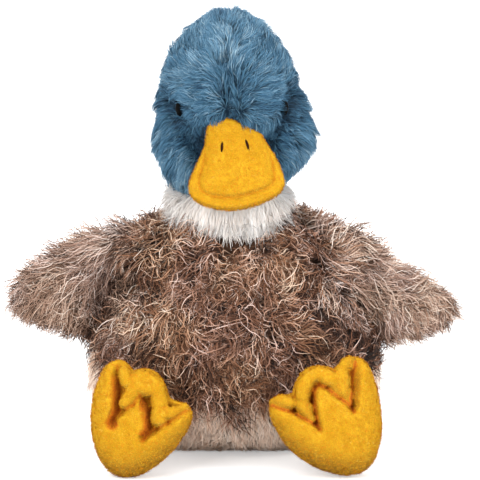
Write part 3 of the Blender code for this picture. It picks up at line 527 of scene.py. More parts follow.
@dataclass(frozen=True)
class Pile:
    """How the pile of one plush is cut and laid: single strands, drawn together into locks."""

    finish: PileFinish
    per_cm2: float
    length: float
    width: float
    spread: float = 0.2
    lift: float = 0.5
    droop: float = 0.4
    wander: float = 0.3
    curl: float = 0.8 * MM
    turns: float = 1.5
    clump: float = 0.5
    lock_gap: float = 4 * MM
    lock_turn: float = 0.3
    lock_shade: float = 0.1
    shade_spread: float = 0.2
    segments: int = 5
    most_faces: int = 190_000
    shading: float = 0.5

    def grow(self, name: str, skin: Surface, lay: Lay, seed: int) -> list[bpy.types.Object]:
        """Grows strands on a skin.

        Args:
            name: the pieces' first name.
            skin: what the strands stand on.
            lay: where they stand and how they lie.
            seed: the random seed.

        Returns:
            One mesh object for each batch of strands.
        """
        rng = np.random.default_rng(seed)
        roots, normals = self.sample(skin, lay.where, rng)
        count = len(roots)
        locks = self.locks(roots, rng)
        lengths = self.length * np.clip(1 + self.spread * rng.standard_normal(count), 0.35, 1.6)
        lengths *= lay.cut(roots, normals) * np.clip(1 + 0.15 * rng.standard_normal(count), 0.6, 1.4)[locks]
        paths = self.paths(roots, normals, locks, lay, lengths, rng)
        shade = 0.5 + self.shade_spread * rng.standard_normal(count) + lay.tone(roots, normals)
        shade += self.lock_shade * rng.standard_normal(count)[locks]
        shade = np.clip(shade, 0.01, 0.985)
        twist = rng.normal(0, 0.6, count)
        passed = lay.parted(paths.reshape(-1, 3), np.repeat(normals, self.segments + 1, axis=0)).reshape(count, -1)
        kept = passed.max(axis=1) < 0.5
        roots, normals, paths, shade, twist = (rows[kept] for rows in (roots, normals, paths, shade, twist))
        count = len(roots)
        batches = max(1, math.ceil(2 * count * self.segments / self.most_faces))
        order = np.argsort(np.arctan2(roots[:, 0], -roots[:, 1]), kind="stable")
        material = self.finish.material()
        made = []
        for number, rows in enumerate(np.array_split(order, batches)):
            title = name if batches == 1 else f"{name}_{number + 1}"
            piece = self.ribbons(title, paths[rows], normals[rows], shade[rows], twist[rows])
            piece.data.materials.append(material)
            made.append(piece)
        LOG.info("%s: %d strands in %d pieces", name, count, batches)
        return made

    def sample(self, skin: Surface, where: Field, rng: np.random.Generator) -> tuple[np.ndarray, np.ndarray]:
        """Scatters roots over a skin.

        Args:
            skin: the surface.
            where: how much pile there is at each point.
            rng: the random source.

        Returns:
            The roots and the skin's normals there.
        """
        corners = skin.points[skin.triangles]
        area = np.linalg.norm(np.cross(corners[:, 1] - corners[:, 0], corners[:, 2] - corners[:, 0]), axis=1) / 2
        middle = corners.mean(axis=1)
        weight = area * where(middle, unit(skin.normals[skin.triangles].mean(axis=1)))
        count = int(self.per_cm2 * weight.sum() / CM2)
        chosen = rng.choice(len(area), count, p=weight / weight.sum())
        a, b = rng.random((2, count, 1))
        turned = a + b > 1
        a, b = np.where(turned, 1 - a, a), np.where(turned, 1 - b, b)
        places, facing = corners[chosen], skin.normals[skin.triangles[chosen]]
        roots = places[:, 0] * (1 - a - b) + places[:, 1] * a + places[:, 2] * b
        normals = facing[:, 0] * (1 - a - b) + facing[:, 1] * a + facing[:, 2] * b
        return roots, unit(normals)

    def locks(self, roots: np.ndarray, rng: np.random.Generator) -> np.ndarray:
        """Shares the strands out among locks.

        Args:
            roots: where the strands stand.
            rng: the random source.

        Returns:
            For each strand, the number of the strand that leads its lock.
        """
        in_lock = self.lock_gap**2 * self.per_cm2 / CM2
        leaders = rng.choice(len(roots), max(1, int(len(roots) / in_lock)), replace=False)
        tree = KDTree(len(leaders))
        for leader in leaders:
            tree.insert(roots[leader], int(leader))
        tree.balance()
        return np.array([tree.find(root)[1] for root in roots])

    def paths(
        self,
        roots: np.ndarray,
        normals: np.ndarray,
        locks: np.ndarray,
        lay: Lay,
        lengths: np.ndarray,
        rng: np.random.Generator,
    ) -> np.ndarray:
        """Lays each strand from its root to its tip.

        Args:
            roots: where the strands stand.
            normals: the skin's normals there.
            locks: the leader of each strand's lock.
            lay: how the pile lies.
            lengths: each strand's length.
            rng: the random source.

        Returns:
            Points along each strand, by strand and then by step.
        """
        count, steps = len(roots), self.segments + 1
        along = lay.comb(roots, normals)
        along = unit(along - (along * normals).sum(1, keepdims=True) * normals)
        across = np.cross(normals, along)
        turn = rng.normal(0, self.wander, (count, 1)) + rng.normal(0, self.lock_turn, (count, 1))[locks]
        along = along * np.cos(turn) + across * np.sin(turn)
        across = np.cross(normals, along)
        lift = self.lift + lay.lift(roots, normals)[:, None]
        lift = lift + rng.normal(0, 0.15, (count, 1)) + rng.normal(0, 0.15, (count, 1))[locks]
        lift = np.clip(lift, 0.03, 1.4)
        start = along * np.cos(lift) + normals * np.sin(lift)
        end = unit(along + normals * 0.2 * np.sin(lift) - np.array([0, 0, self.droop]))
        share = np.linspace(0, 1, steps)[None, :, None]
        way = unit(start[:, None] * (1 - share) + end[:, None] * share)
        reach = lengths[:, None, None] / self.segments
        steps_out = np.cumsum((way[:, 1:] + way[:, :-1]) / 2, axis=1) * reach
        paths = roots[:, None] + np.concatenate([np.zeros((count, 1, 3)), steps_out], axis=1)
        phase = (rng.random((count, 1, 1)) * math.tau)[locks] + rng.normal(0, 0.7, (count, 1, 1))
        pace = 1 + 0.3 * rng.standard_normal((count, 1, 1))[locks]
        wave = math.tau * self.turns * share * pace + phase
        size = self.curl * share**0.6 * (0.4 + 1.2 * rng.random((count, 1, 1)))
        sway = (np.sin(wave) - np.sin(phase)) * across[:, None]
        paths += size * (sway + 0.6 * (np.cos(wave) - np.cos(phase)) * normals[:, None] * share)
        if self.clump:
            target = paths[locks] + 0.3 * (roots - roots[locks])[:, None]
            pull = self.clump * share**1.2 * rng.uniform(0.4, 1.1, (count, 1, 1))
            paths = paths * (1 - pull) + target * pull
        paths[..., 2] = np.maximum(paths[..., 2], STRAND_FLOOR)
        return paths

    def ribbons(
        self, name: str, paths: np.ndarray, normals: np.ndarray, shade: np.ndarray, twist: np.ndarray
    ) -> bpy.types.Object:
        """Makes each strand a tapered ribbon with its place on the strand map.

        Args:
            name: the piece's name.
            paths: the strands.
            normals: the skin's normals at their roots.
            shade: each strand's shade, from 0 to 1.
            twist: each ribbon's turn about its strand.

        Returns:
            The mesh object.
        """
        count, steps = paths.shape[:2]
        tangent = unit(np.gradient(paths, axis=1))
        outward = np.broadcast_to(normals[:, None], paths.shape)
        side = unit(np.cross(tangent, outward))
        facing = np.cross(side, tangent)
        turn = twist[:, None, None]
        side, facing = side * np.cos(turn) + facing * np.sin(turn), facing * np.cos(turn) - side * np.sin(turn)
        share = np.linspace(0, 1, steps)
        half = (self.width / 2 * (1 - 0.85 * share**1.5))[None, :, None] * side
        points = np.stack([paths - half, paths + half], axis=2).reshape(-1, 3)
        first = (np.arange(count)[:, None] * steps + np.arange(steps - 1)) * 2
        faces = np.stack([first, first + 1, first + 3, first + 2], axis=-1).reshape(-1, 4)
        piece = mesh_object(name, points, faces)
        shown = unit(facing * (1 - self.shading) + outward * self.shading)
        piece.data.normals_split_custom_set_from_vertices(np.repeat(shown.reshape(-1, 3), 2, axis=0))
        strip = 0.006
        u = np.stack([shade - strip / 2, shade + strip / 2], axis=-1)[:, None, :]
        u = np.broadcast_to(u, (count, steps, 2)).reshape(-1)
        v = np.broadcast_to(share[None, :, None], (count, steps, 2)).reshape(-1)
        layer = piece.data.uv_layers.new(name=STRAND_MAP)
        layer.uv.foreach_set("vector", np.stack([u, v], axis=-1)[faces.ravel()].astype(np.float32).ravel())
        return piece


@dataclass(frozen=True)
class Filling:
    """How a skin is remade and filled out by cloth."""

    voxel: float
    cap: float
    pressure: float = 4.0
    smooths: int = 4
    levels: int = 1


def joined(name: str, nodes: tuple[str, ...]) -> bpy.types.Object:
    """Copies some of the frame's nodes into one mesh.

    Args:
        name: the new object's name.
        nodes: the nodes to copy.

    Returns:
        The new object.
    """
    shape = bmesh.new()
    for node in nodes:
        shape.from_mesh(frame["nodes"][node].data)
    mesh = bpy.data.meshes.new(name)
    shape.to_mesh(mesh)
    shape.free()
    return add_object(name, mesh)


def settle(obj: bpy.types.Object) -> None:
    """Applies an object's modifiers to its mesh.

    Args:
        obj: the object.
    """
    bpy.context.view_layer.update()
    shown = obj.evaluated_get(bpy.context.evaluated_depsgraph_get())
    mesh = bpy.data.meshes.new_from_object(shown)
    obj.modifiers.clear()
    obj.data = mesh


def largest_part(obj: bpy.types.Object) -> None:
    """Keeps the largest connected shell, so that the spaces inside go.

    Args:
        obj: the object.
    """
    shape = bmesh.new()
    shape.from_mesh(obj.data)
    left, shells = set(shape.verts), []
    while left:
        seed = left.pop()
        shell, edge = {seed}, [seed]
        while edge:
            vertex = edge.pop()
            for link in vertex.link_edges:
                other = link.other_vert(vertex)
                if other in left:
                    left.discard(other)
                    shell.add(other)
                    edge.append(other)
        shells.append(shell)
    keep = max(shells, key=len)
    bmesh.ops.delete(shape, geom=[vertex for vertex in shape.verts if vertex not in keep], context="VERTS")
    shape.to_mesh(obj.data)
    shape.free()


def points_of(obj: bpy.types.Object) -> np.ndarray:
    """Reads a mesh's points, one row for each vertex."""
    return read(obj.data.vertices, "co").astype(float)


def normals_of(obj: bpy.types.Object) -> np.ndarray:
    """Reads a mesh's vertex normals, one row for each vertex."""
    return read(obj.data.vertices, "normal").astype(float)


def set_points(obj: bpy.types.Object, points: np.ndarray) -> None:
    """Moves a mesh's points.

    Args:
        obj: the object.
        points: one row for each vertex.
    """
    obj.data.vertices.foreach_set("co", points.astype(np.float32).ravel())
    obj.data.update()


def fill_out(obj: bpy.types.Object, filling: Filling) -> None:
    """Remakes a skin as an even net of cloth and blows it up a little, as stuffing does.

    Args:
        obj: the skin.
        filling: the net's size and how far it may swell.
    """
    remesh = obj.modifiers.new("Net", "REMESH")
    remesh.mode = "VOXEL"
    remesh.voxel_size = filling.voxel
    settle(obj)
    largest_part(obj)
    relax = obj.modifiers.new("Relax", "SMOOTH")
    relax.iterations = filling.smooths
    settle(obj)
    start = points_of(obj)
    if filling.pressure:
        cloth = obj.modifiers.new("Cloth", "CLOTH")
        cloth.settings.use_pressure = True
        cloth.settings.uniform_pressure_force = filling.pressure
        cloth.settings.effector_weights.gravity = 0
        for number in range(1, CLOTH_FRAMES + 1):
            bpy.context.scene.frame_set(number)
        settle(obj)
        bpy.context.scene.frame_set(1)
        moved = points_of(obj) - start
        far = np.linalg.norm(moved, axis=1, keepdims=True)
        moved *= np.minimum(1, filling.cap / np.maximum(far, 1e-9))
        set_points(obj, start + moved)
    if filling.levels:
        rounder = obj.modifiers.new("Round", "SUBSURF")
        rounder.levels = rounder.render_levels = filling.levels
        settle(obj)
    obj.data.shade_smooth()


def dress(obj: bpy.types.Object, finish: Finish | None, body: str | None) -> bpy.types.Object:
    """Gives a piece its finish and the body that it moves with.

    Args:
        obj: the piece.
        finish: the finish to build, or None where the piece has its material.
        body: the frame's body, or None to leave the piece attached to none.

    Returns:
        The piece.
    """
    if finish is not None:
        obj.data.materials.clear()
        obj.data.materials.append(finish.material())
    if body is not None:
        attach(obj, body)
    return obj


def axis_place() -> np.ndarray:
    """Finds the body's upright axis.

    Returns:
        Its X and Y, with Z at the seat.
    """
    low, high = (np.array(corner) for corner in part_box("neck_stuffing"))
    middle = (low + high) / 2
    return np.array([middle[0], middle[1], 0.0])


def line_distance(points: np.ndarray, line: np.ndarray) -> tuple[np.ndarray, np.ndarray]:
    """Measures from points to a line of straight stretches.

    Args:
        points: the points, with as many numbers each as the line's.
        line: the line's corners.

    Returns:
        The distance of each point, and how far along the line it is nearest, from 0 to 1.
    """
    best = np.full(len(points), np.inf)
    along = np.zeros(len(points))
    for number, (start, end) in enumerate(zip(line[:-1], line[1:])):
        way = end - start
        share = np.clip(((points - start) @ way) / max(way @ way, 1e-12), 0, 1)
        far = np.linalg.norm(points - start - share[:, None] * way, axis=1)
        nearer = far < best
        best = np.where(nearer, far, best)
        along = np.where(nearer, (number + share) / (len(line) - 1), along)
    return best, along


def inside_outline(points: np.ndarray, outline: np.ndarray) -> np.ndarray:
    """Tells which points lie inside a closed outline.

    Args:
        points: rows of two numbers.
        outline: the outline's corners in order.

    Returns:
        True for each point inside.
    """
    inside = np.zeros(len(points), bool)
    for (ax, ay), (bx, by) in zip(outline, np.roll(outline, -1, axis=0)):
        crosses = (ay > points[:, 1]) != (by > points[:, 1])
        with np.errstate(divide="ignore", invalid="ignore"):
            reach = ax + (points[:, 1] - ay) * (bx - ax) / (by - ay)
        inside ^= crosses & (points[:, 0] < reach)
    return inside


def polar_reach(outline: np.ndarray, turns: np.ndarray) -> np.ndarray:
    """Reads how far an outline is from its middle in each direction.

    Args:
        outline: corners round the middle.
        turns: directions in radians.

    Returns:
        The reach in each direction, eased between the corners.
    """
    angles = np.arctan2(outline[:, 1], outline[:, 0]) % math.tau
    reach = np.hypot(outline[:, 0], outline[:, 1])
    order = np.argsort(angles)
    read = np.interp(turns, angles[order], reach[order], period=math.tau)
    for _ in range(2):
        read = (np.roll(read, 1) + 2 * read + np.roll(read, -1)) / 4
    return read


def mark_folds(
    obj: bpy.types.Object,
    scales: tuple[tuple[int, float], ...],
    under: float,
    near: Field = nowhere,
    shaded: Field = nowhere,
) -> None:
    """Writes how deep each point lies in a fold, and how far on the lower side, for the finish to paint as shade.

    Args:
        obj: the piece.
        scales: for each scale, how widely the surface is averaged and the depth that counts as full.
        under: how much the surface that faces straight down counts as the lower side.
        near: how deep points count for where they are.
        shaded: how much points count as the lower side for where they are.
    """
    mesh = obj.data
    a, b = read(mesh.edges, "vertices", 2, np.int32).T
    both, other = np.concatenate([a, b]), np.concatenate([b, a])
    links = np.maximum(np.bincount(both, minlength=len(mesh.vertices)), 1)
    start, normals = points_of(obj), normals_of(obj)
    fold = near(start, normals)
    eased, done = start.copy(), 0
    for rounds, depth in scales:
        for _ in range(rounds - done):
            eased = np.stack([np.bincount(both, eased[other, axis], len(start)) / links for axis in range(3)], axis=1)
        done = rounds
        fold = np.maximum(fold, ((eased - start) * normals).sum(axis=1) / depth)
    lower = np.maximum(under * smooth(-normals[:, 2], -0.08, 0.5), shaded(start, normals))
    for name, value in (("fold", fold), ("under", lower)):
        layer = mesh.attributes.new(name, "FLOAT", "POINT")
        layer.data.foreach_set("value", np.clip(value, 0, 1).astype(np.float32))


def fold_tone(obj: bpy.types.Object, share: float) -> Field:
    """Makes a field that darkens strands which stand in a fold, as painted shade.

    Args:
        obj: a piece with its folds marked.
        share: how much the shade drops in a full fold.

    Returns:
        The field.
    """
    points = points_of(obj)
    folds = read(obj.data.attributes["fold"].data, "value", 1)[:, 0]
    tree = KDTree(len(points))
    for number, point in enumerate(points):
        tree.insert(point, number)
    tree.balance()

    def tone(roots: np.ndarray, _: np.ndarray) -> np.ndarray:
        """Reads the nearest point's fold."""
        return -share * folds[[tree.find(root)[1] for root in roots]]

    return tone


def bump(points: np.ndarray, line: Line, width: float) -> np.ndarray:
    """Falls away on both sides of a line seen from the front.

    Args:
        points: points in the row frame.
        line: the line's corners, X and Z in millimetres.
        width: how far it reaches.

    Returns:
        1 on the line and nearly 0 twice the width away.
    """
    far, _ = line_distance(points[:, [0, 2]], np.array(line) * MM)
    return np.exp(-((far / width) ** 2))


# The gaps below the wings seen from the front, X and Z in millimetres.
PITS = (((38, 116), (56, 84), (88, 72)), ((-58, 118), (-80, 96), (-100, 76)))


def under_wings(points: np.ndarray, width: float) -> np.ndarray:
    """Says how near points are to the gaps below the wings.

    Args:
        points: points in the row frame.
        width: how far a gap reaches.

    Returns:
        1 in a gap and 0 away from it and behind.
    """
    front = smooth(-points[:, 1], -35 * MM, -20 * MM)
    return front * np.maximum(*(bump(points, line, width) for line in PITS))


NAP = Pile(
    YELLOW_NAP,
    per_cm2=320,
    length=1.5 * MM,
    width=0.26 * MM,
    lift=0.9,
    droop=0.1,
    wander=1.4,
    curl=0.0,
    clump=0.4,
    lock_gap=1.6 * MM,
    lock_turn=0.4,
    lock_shade=0.05,
    shade_spread=0.13,
    segments=2,
    shading=0.9,
)


def stuffed_skin(name: str, nodes: tuple[str, ...], filling: Filling) -> bpy.types.Object:
    """Makes one filled-out skin round some of the frame's nodes, which it replaces.

    Args:
        name: the piece's name.
        nodes: the nodes whose outside it takes.
        filling: how it is remade.

    Returns:
        The skin.
    """
    made = joined(name, nodes)
    fill_out(made, filling)
    points = points_of(made)
    points[:, 2] = np.maximum(points[:, 2], SKIN_FLOOR)
    set_points(made, points)
    return made


def apart(skin: Surface, gap: float, seed: int, tries: int = 1500) -> np.ndarray:
    """Chooses places on a skin, none nearer to another than a gap.

    Args:
        skin: the surface.
        gap: the least distance.
        seed: the random seed.
        tries: how many points are looked at.

    Returns:
        One row for each place.
    """
    rng = np.random.default_rng(seed)
    places: list[np.ndarray] = []
    for point in skin.points[rng.permutation(len(skin.points))[:tries]]:
        if not places or np.linalg.norm(np.array(places) - point, axis=1).min() > gap:
            places.append(point)
    return np.array(places)


@dataclass
class Grown:
    """A skin with its pile, on one of the frame's bodies."""

    body: str
    slot: str
    backing: MottledFinish
    fill: float

    def settle_skin(self, skin: bpy.types.Object, nodes: tuple[str, ...]) -> Surface:
        """Finishes a skin and reads it for the pile.

        Args:
            skin: the skin, in its last shape.
            nodes: the nodes that it replaces.

        Returns:
            The skin's shape.
        """
        surface = Surface.of(skin)
        dress(skin, self.backing, self.body)
        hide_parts(*nodes)
        return surface

    def plant(self, strands: list[bpy.types.Object]) -> None:
        """Sets strands on the body that their skin rides on.

        Args:
            strands: the strands' pieces.
        """
        for piece in strands:
            dress(piece, None, self.body)


@dataclass
class Body:
    """The body: shaggy brown above a hem, cream below it."""

    nodes: tuple[str, ...] = ("body_cover", "seat_panel", "body_stuffing")
    filling: Filling = Filling(voxel=5 * MM, cap=3 * MM)
    hem_front: float = 42 * MM
    edge_rise: float = 8 * MM
    tuft: tuple[float, float] = (14 * MM, 3 * MM)
    hem_rise: tuple[float, float] = (24 * MM, 14 * MM)
    half_width: float = 90 * MM
    collar_front: float = 131 * MM
    collar_rise: float = 22 * MM
    collar_half: float = 45 * MM
    whorl_gap: float = 22 * MM
    whorl_reach: float = 13 * MM
    pile: Pile = Pile(
        BROWN_STRANDS,
        per_cm2=88,
        length=18 * MM,
        width=0.85 * MM,
        lift=0.5,
        droop=0.1,
        wander=0.8,
        curl=3.0 * MM,
        turns=1.0,
        clump=0.35,
        lock_gap=6 * MM,
        lock_turn=0.7,
        lock_shade=0.12,
        shade_spread=0.3,
        segments=7,
        shading=0.4,
    )
    under: Pile = Pile(
        CREAM_STRANDS,
        per_cm2=150,
        length=7 * MM,
        width=0.6 * MM,
        spread=0.4,
        lift=0.6,
        wander=0.6,
        curl=0.8 * MM,
        segments=3,
        lock_gap=3 * MM,
        lock_shade=0.08,
    )

    def hem(self, points: np.ndarray) -> np.ndarray:
        """Finds how far points lie above the hem.

        Args:
            points: points in the row frame.

        Returns:
            The height above the hem.
        """
        rise = np.where(points[:, 0] < 0, *self.hem_rise)
        deep, wide = self.tuft
        tuft = deep * np.exp(-((points[:, 0] / wide) ** 2)) * (points[:, 1] < 0)
        return points[:, 2] - self.hem_front - rise * np.abs(points[:, 0] / self.half_width) ** 2 + tuft

    def collar(self, points: np.ndarray) -> np.ndarray:
        """Finds how high the brown pile reaches below the collar, lower in front than behind.

        Args:
            points: points in the row frame.

        Returns:
            The height of the brown pile's upper edge.
        """
        front = self.collar_front + self.collar_rise * ((points[:, 0] + 3 * MM) / self.collar_half) ** 2
        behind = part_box("neck_ruff")[0].z + 8 * MM
        return np.minimum(front + (behind - front) * smooth(points[:, 1], -15 * MM, 15 * MM), behind + 3 * MM)

    def shoulder(self, points: np.ndarray, _: np.ndarray) -> np.ndarray:
        """Says where the pile stands up over the shoulders, from 0 to 1."""
        side = smooth(np.abs(points[:, 0]), 38 * MM, 56 * MM) * np.where(points[:, 0] > 0, 0.8, 1.0)
        return smooth(points[:, 2], 108 * MM, 132 * MM) * side

    def pit(self, points: np.ndarray) -> np.ndarray:
        """Says how near points are to the gaps below the wings, from 0 to 1."""
        return under_wings(points, 10 * MM)

    def comb(self, whorls: np.ndarray) -> Field:
        """Brushes the pile down and outwards from the neck, and away from or round each whorl.

        Args:
            whorls: the whorls' places.

        Returns:
            The way of the pile, as a field.
        """

        def way(points: np.ndarray, normals: np.ndarray) -> np.ndarray:
            """Finds the way of the pile."""
            out = points - axis_place()
            out[:, 2] = 0
            way = 0.4 * unit(out) + np.array([0, 0, -0.75])
            aside = np.sign(points[:, :1]) * np.array([1.0, 0, 0.15])
            way = way + 2.5 * self.shoulder(points, normals)[:, None] * aside
            for number, whorl in enumerate(whorls):
                away = points - whorl
                far = np.linalg.norm(away, axis=1, keepdims=True)
                push = 2.2 if number % 3 else -1.6
                way += push * away / np.maximum(far, 1e-6) * np.exp(-((far / self.whorl_reach) ** 2))
            return way

        return way

    def build(self) -> None:
        """Builds the body and its pile."""
        skin = stuffed_skin("body_skin", self.nodes, self.filling)
        points = points_of(skin)
        front = smooth(-points[:, 1], 10 * MM, 38 * MM)
        points[:, 2] += self.edge_rise * front * (1 - smooth(points[:, 2], 4 * MM, 45 * MM))
        set_points(skin, points)
        holder = Grown("body", "shaggy_plush", BROWN_BACKING, 0.75)
        surface = holder.settle_skin(skin, self.nodes[:2])
        comb = self.comb(apart(surface, self.whorl_gap, seed=10))

        def shaggy(points: np.ndarray, _: np.ndarray) -> np.ndarray:
            """Says where the taupe pile grows."""
            return smooth(self.hem(points), -1 * MM, 3 * MM) * (points[:, 2] < self.collar(points))

        def pale(points: np.ndarray) -> np.ndarray:
            """Says how much of the taupe pile takes the paler copy of its yarn."""
            return smooth(np.abs(points[:, 0]), 35 * MM, 75 * MM) * smooth(points[:, 2], 60 * MM, 110 * MM)

        def rim(points: np.ndarray) -> np.ndarray:
            """Says how near points are to the collar, from 0 to 1."""
            return smooth(points[:, 2] - self.collar(points), -9 * MM, -2 * MM)

        def lift(points: np.ndarray, normals: np.ndarray) -> np.ndarray:
            """Stands the pile up over the shoulders and below the collar."""
            return 0.5 * self.shoulder(points, normals) - 0.2 * self.pit(points)

        def cut(points: np.ndarray, normals: np.ndarray) -> np.ndarray:
            """Leaves the pile long over the shoulders and short below the wings."""
            return 1 + 0.4 * self.shoulder(points, normals) - 0.45 * self.pit(points) - 0.3 * rim(points)

        def tone(points: np.ndarray, _: np.ndarray) -> np.ndarray:
            """Darkens the pile below the wings as painted shade, and towards the seat, and lightens it at the collar.
            """
            seat = smooth(-points[:, 2], -100 * MM, -60 * MM) + 2 * smooth(-points[:, 2], -40 * MM, -28 * MM)
            return 0.03 + 0.12 * rim(points) - 0.5 * self.pit(points) - 0.08 * seat

        def shade(points: np.ndarray, _: np.ndarray) -> np.ndarray:
            """Darkens the cream pile under the fringe of the taupe pile in front, as the fringe's painted shadow."""
            front = smooth(-points[:, 1], 0.0, 20 * MM) * (1 - smooth(np.abs(points[:, 0]), 35 * MM, 60 * MM))
            fringe = -0.3 * front * smooth(self.hem(points), -14 * MM, -3 * MM)
            return fringe + 0.1 + 0.12 * smooth(points[:, 0], -25 * MM, 35 * MM)

        def long(points: np.ndarray, _: np.ndarray) -> np.ndarray:
            """Leaves the cream pile longer at the sides and shorter along the seat's front edge."""
            side = smooth(np.abs(points[:, 0]), 55 * MM, 85 * MM) * smooth(points[:, 2], 20 * MM, 45 * MM)
            return 1 + side - 0.2 * smooth(-points[:, 1], 5 * MM, 30 * MM) * smooth(-points[:, 2], -16 * MM, -8 * MM)

        brown = Lay(comb, lambda points, normals: shaggy(points, normals) * (1 - pale(points)), cut, lift, tone)
        light = Lay(comb, lambda points, normals: shaggy(points, normals) * pale(points), cut, lift, tone)
        cream = Lay(
            self.comb(np.empty((0, 3))),
            where=lambda points, _: 1 - smooth(self.hem(points), -2 * MM, 3 * MM),
            cut=long,
            lift=lambda points, _: 0.15 * smooth(-points[:, 2], -18 * MM, -10 * MM),
            tone=shade,
        )
        holder.plant(self.pile.grow("body_pile", surface, brown, seed=11))
        holder.plant(replace(self.pile, finish=PALE_STRANDS).grow("shoulder_pile", surface, light, seed=13))
        holder.plant(self.under.grow("underside_pile", surface, cream, seed=12))


@dataclass
class Wing:
    """A wing whose pile is combed out towards its tip."""

    side: Side
    sag: tuple[float, float]
    crest: tuple[float, float]
    tip: float
    slope: float
    filling: Filling = Filling(voxel=4 * MM, cap=2.5 * MM)
    pile: Pile = Pile(
        PALE_STRANDS,
        per_cm2=130,
        length=17.5 * MM,
        width=0.68 * MM,
        spread=0.4,
        lift=0.38,
        droop=0.15,
        wander=0.52,
        curl=2.3 * MM,
        turns=1.1,
        clump=0.4,
        lock_gap=5 * MM,
        lock_turn=0.45,
        lock_shade=0.12,
        shade_spread=0.27,
        segments=7,
        shading=0.45,
    )

    def comb(self, points: np.ndarray, _: np.ndarray) -> np.ndarray:
        """Brushes the pile outwards, and down towards the lower edge and the root.

        Args:
            points: the roots.

        Returns:
            The way of the pile.
        """
        lower, root = self.lower(points), 1 - smooth(np.abs(points[:, 0]), 65 * MM, 105 * MM)
        way = np.zeros_like(points)
        way[:, 0] = self.side.value
        way[:, 2] = -self.slope - 0.4 * lower - 0.7 * lower * root
        return way

    def drop(self, points: np.ndarray) -> np.ndarray:
        """Finds how far the wing sags at each point, at its upper and at its lower edge."""
        low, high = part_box(f"wing_{self.side.word}")
        height = np.clip((points[:, 2] - low.z) / (high.z - low.z), 0, 1)
        out = np.abs(points[:, 0])
        upper, lower = (sag * smooth(out, 70 * MM, end * MM) for sag, end in zip(self.sag, (112, 145)))
        return upper * height + lower * (1 - height)

    def lower(self, points: np.ndarray) -> np.ndarray:
        """Says how low on the wing points are, from 0 to 1."""
        low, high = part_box(f"wing_{self.side.word}")
        return smooth(-points[:, 2] - self.drop(points), -high.z, -low.z)

    def upper(self, points: np.ndarray) -> np.ndarray:
        """Says how near points are to the wing's upper edge, from 0 to 1."""
        edge = 140 * MM - 0.55 * np.maximum(np.abs(points[:, 0]) - 75 * MM, 0) - self.drop(points)
        return smooth(points[:, 2] - edge, -22 * MM, -4 * MM)

    def build(self) -> None:
        """Builds the wing and its pile."""
        node = f"wing_{self.side.word}"
        skin = stuffed_skin(f"{node}_skin", (node,), self.filling)
        points = points_of(skin)
        points[:, 2] -= self.drop(points)
        set_points(skin, points)
        holder = Grown(node, "shaggy_plush", BROWN_BACKING, 0.5)
        surface = holder.settle_skin(skin, (node,))

        def cut(points: np.ndarray, _: np.ndarray) -> np.ndarray:
            """Keeps the pile long over the shoulder and short at the tip and the lower edge."""
            tip = smooth(np.abs(points[:, 0]), 105 * MM, 142 * MM)
            crest = self.crest[0] * self.upper(points) * (1 - smooth(np.abs(points[:, 0]), 75 * MM, 100 * MM))
            return 1 + 0.4 * crest - self.tip * tip - 0.3 * smooth(self.lower(points), 0.6, 1)

        def lift(points: np.ndarray, _: np.ndarray) -> np.ndarray:
            """Stands the pile up along the upper edge."""
            out = smooth(np.abs(points[:, 0]), 70 * MM, 92 * MM)
            return self.upper(points) * (self.crest[0] * (1 - out) + self.crest[1] * out)

        # Painted shade: the pile is darker near the gaps below the wings.
        lay = Lay(self.comb, cut=cut, lift=lift, tone=lambda points, _: -0.35 * under_wings(points, 7 * MM))
        holder.plant(self.pile.grow(f"{node}_pile", surface, lay, seed=20 + self.side.value))


@dataclass
class Tail:
    """The small tail, with pile combed back."""

    filling: Filling = Filling(voxel=3 * MM, cap=1.5 * MM)
    pile: Pile = Pile(
        BROWN_STRANDS, per_cm2=100, length=15 * MM, width=0.7 * MM, lift=0.35, wander=0.4, curl=1.5 * MM, segments=6
    )

    def build(self) -> None:
        """Builds the tail and its pile."""
        skin = stuffed_skin("tail_skin", ("tail",), self.filling)
        holder = Grown("tail", "shaggy_plush", BROWN_BACKING, 0.5)
        surface = holder.settle_skin(skin, ("tail",))
        holder.plant(self.pile.grow("tail_pile", surface, Lay(steady(0.0, 1.0, 0.35)), seed=31))


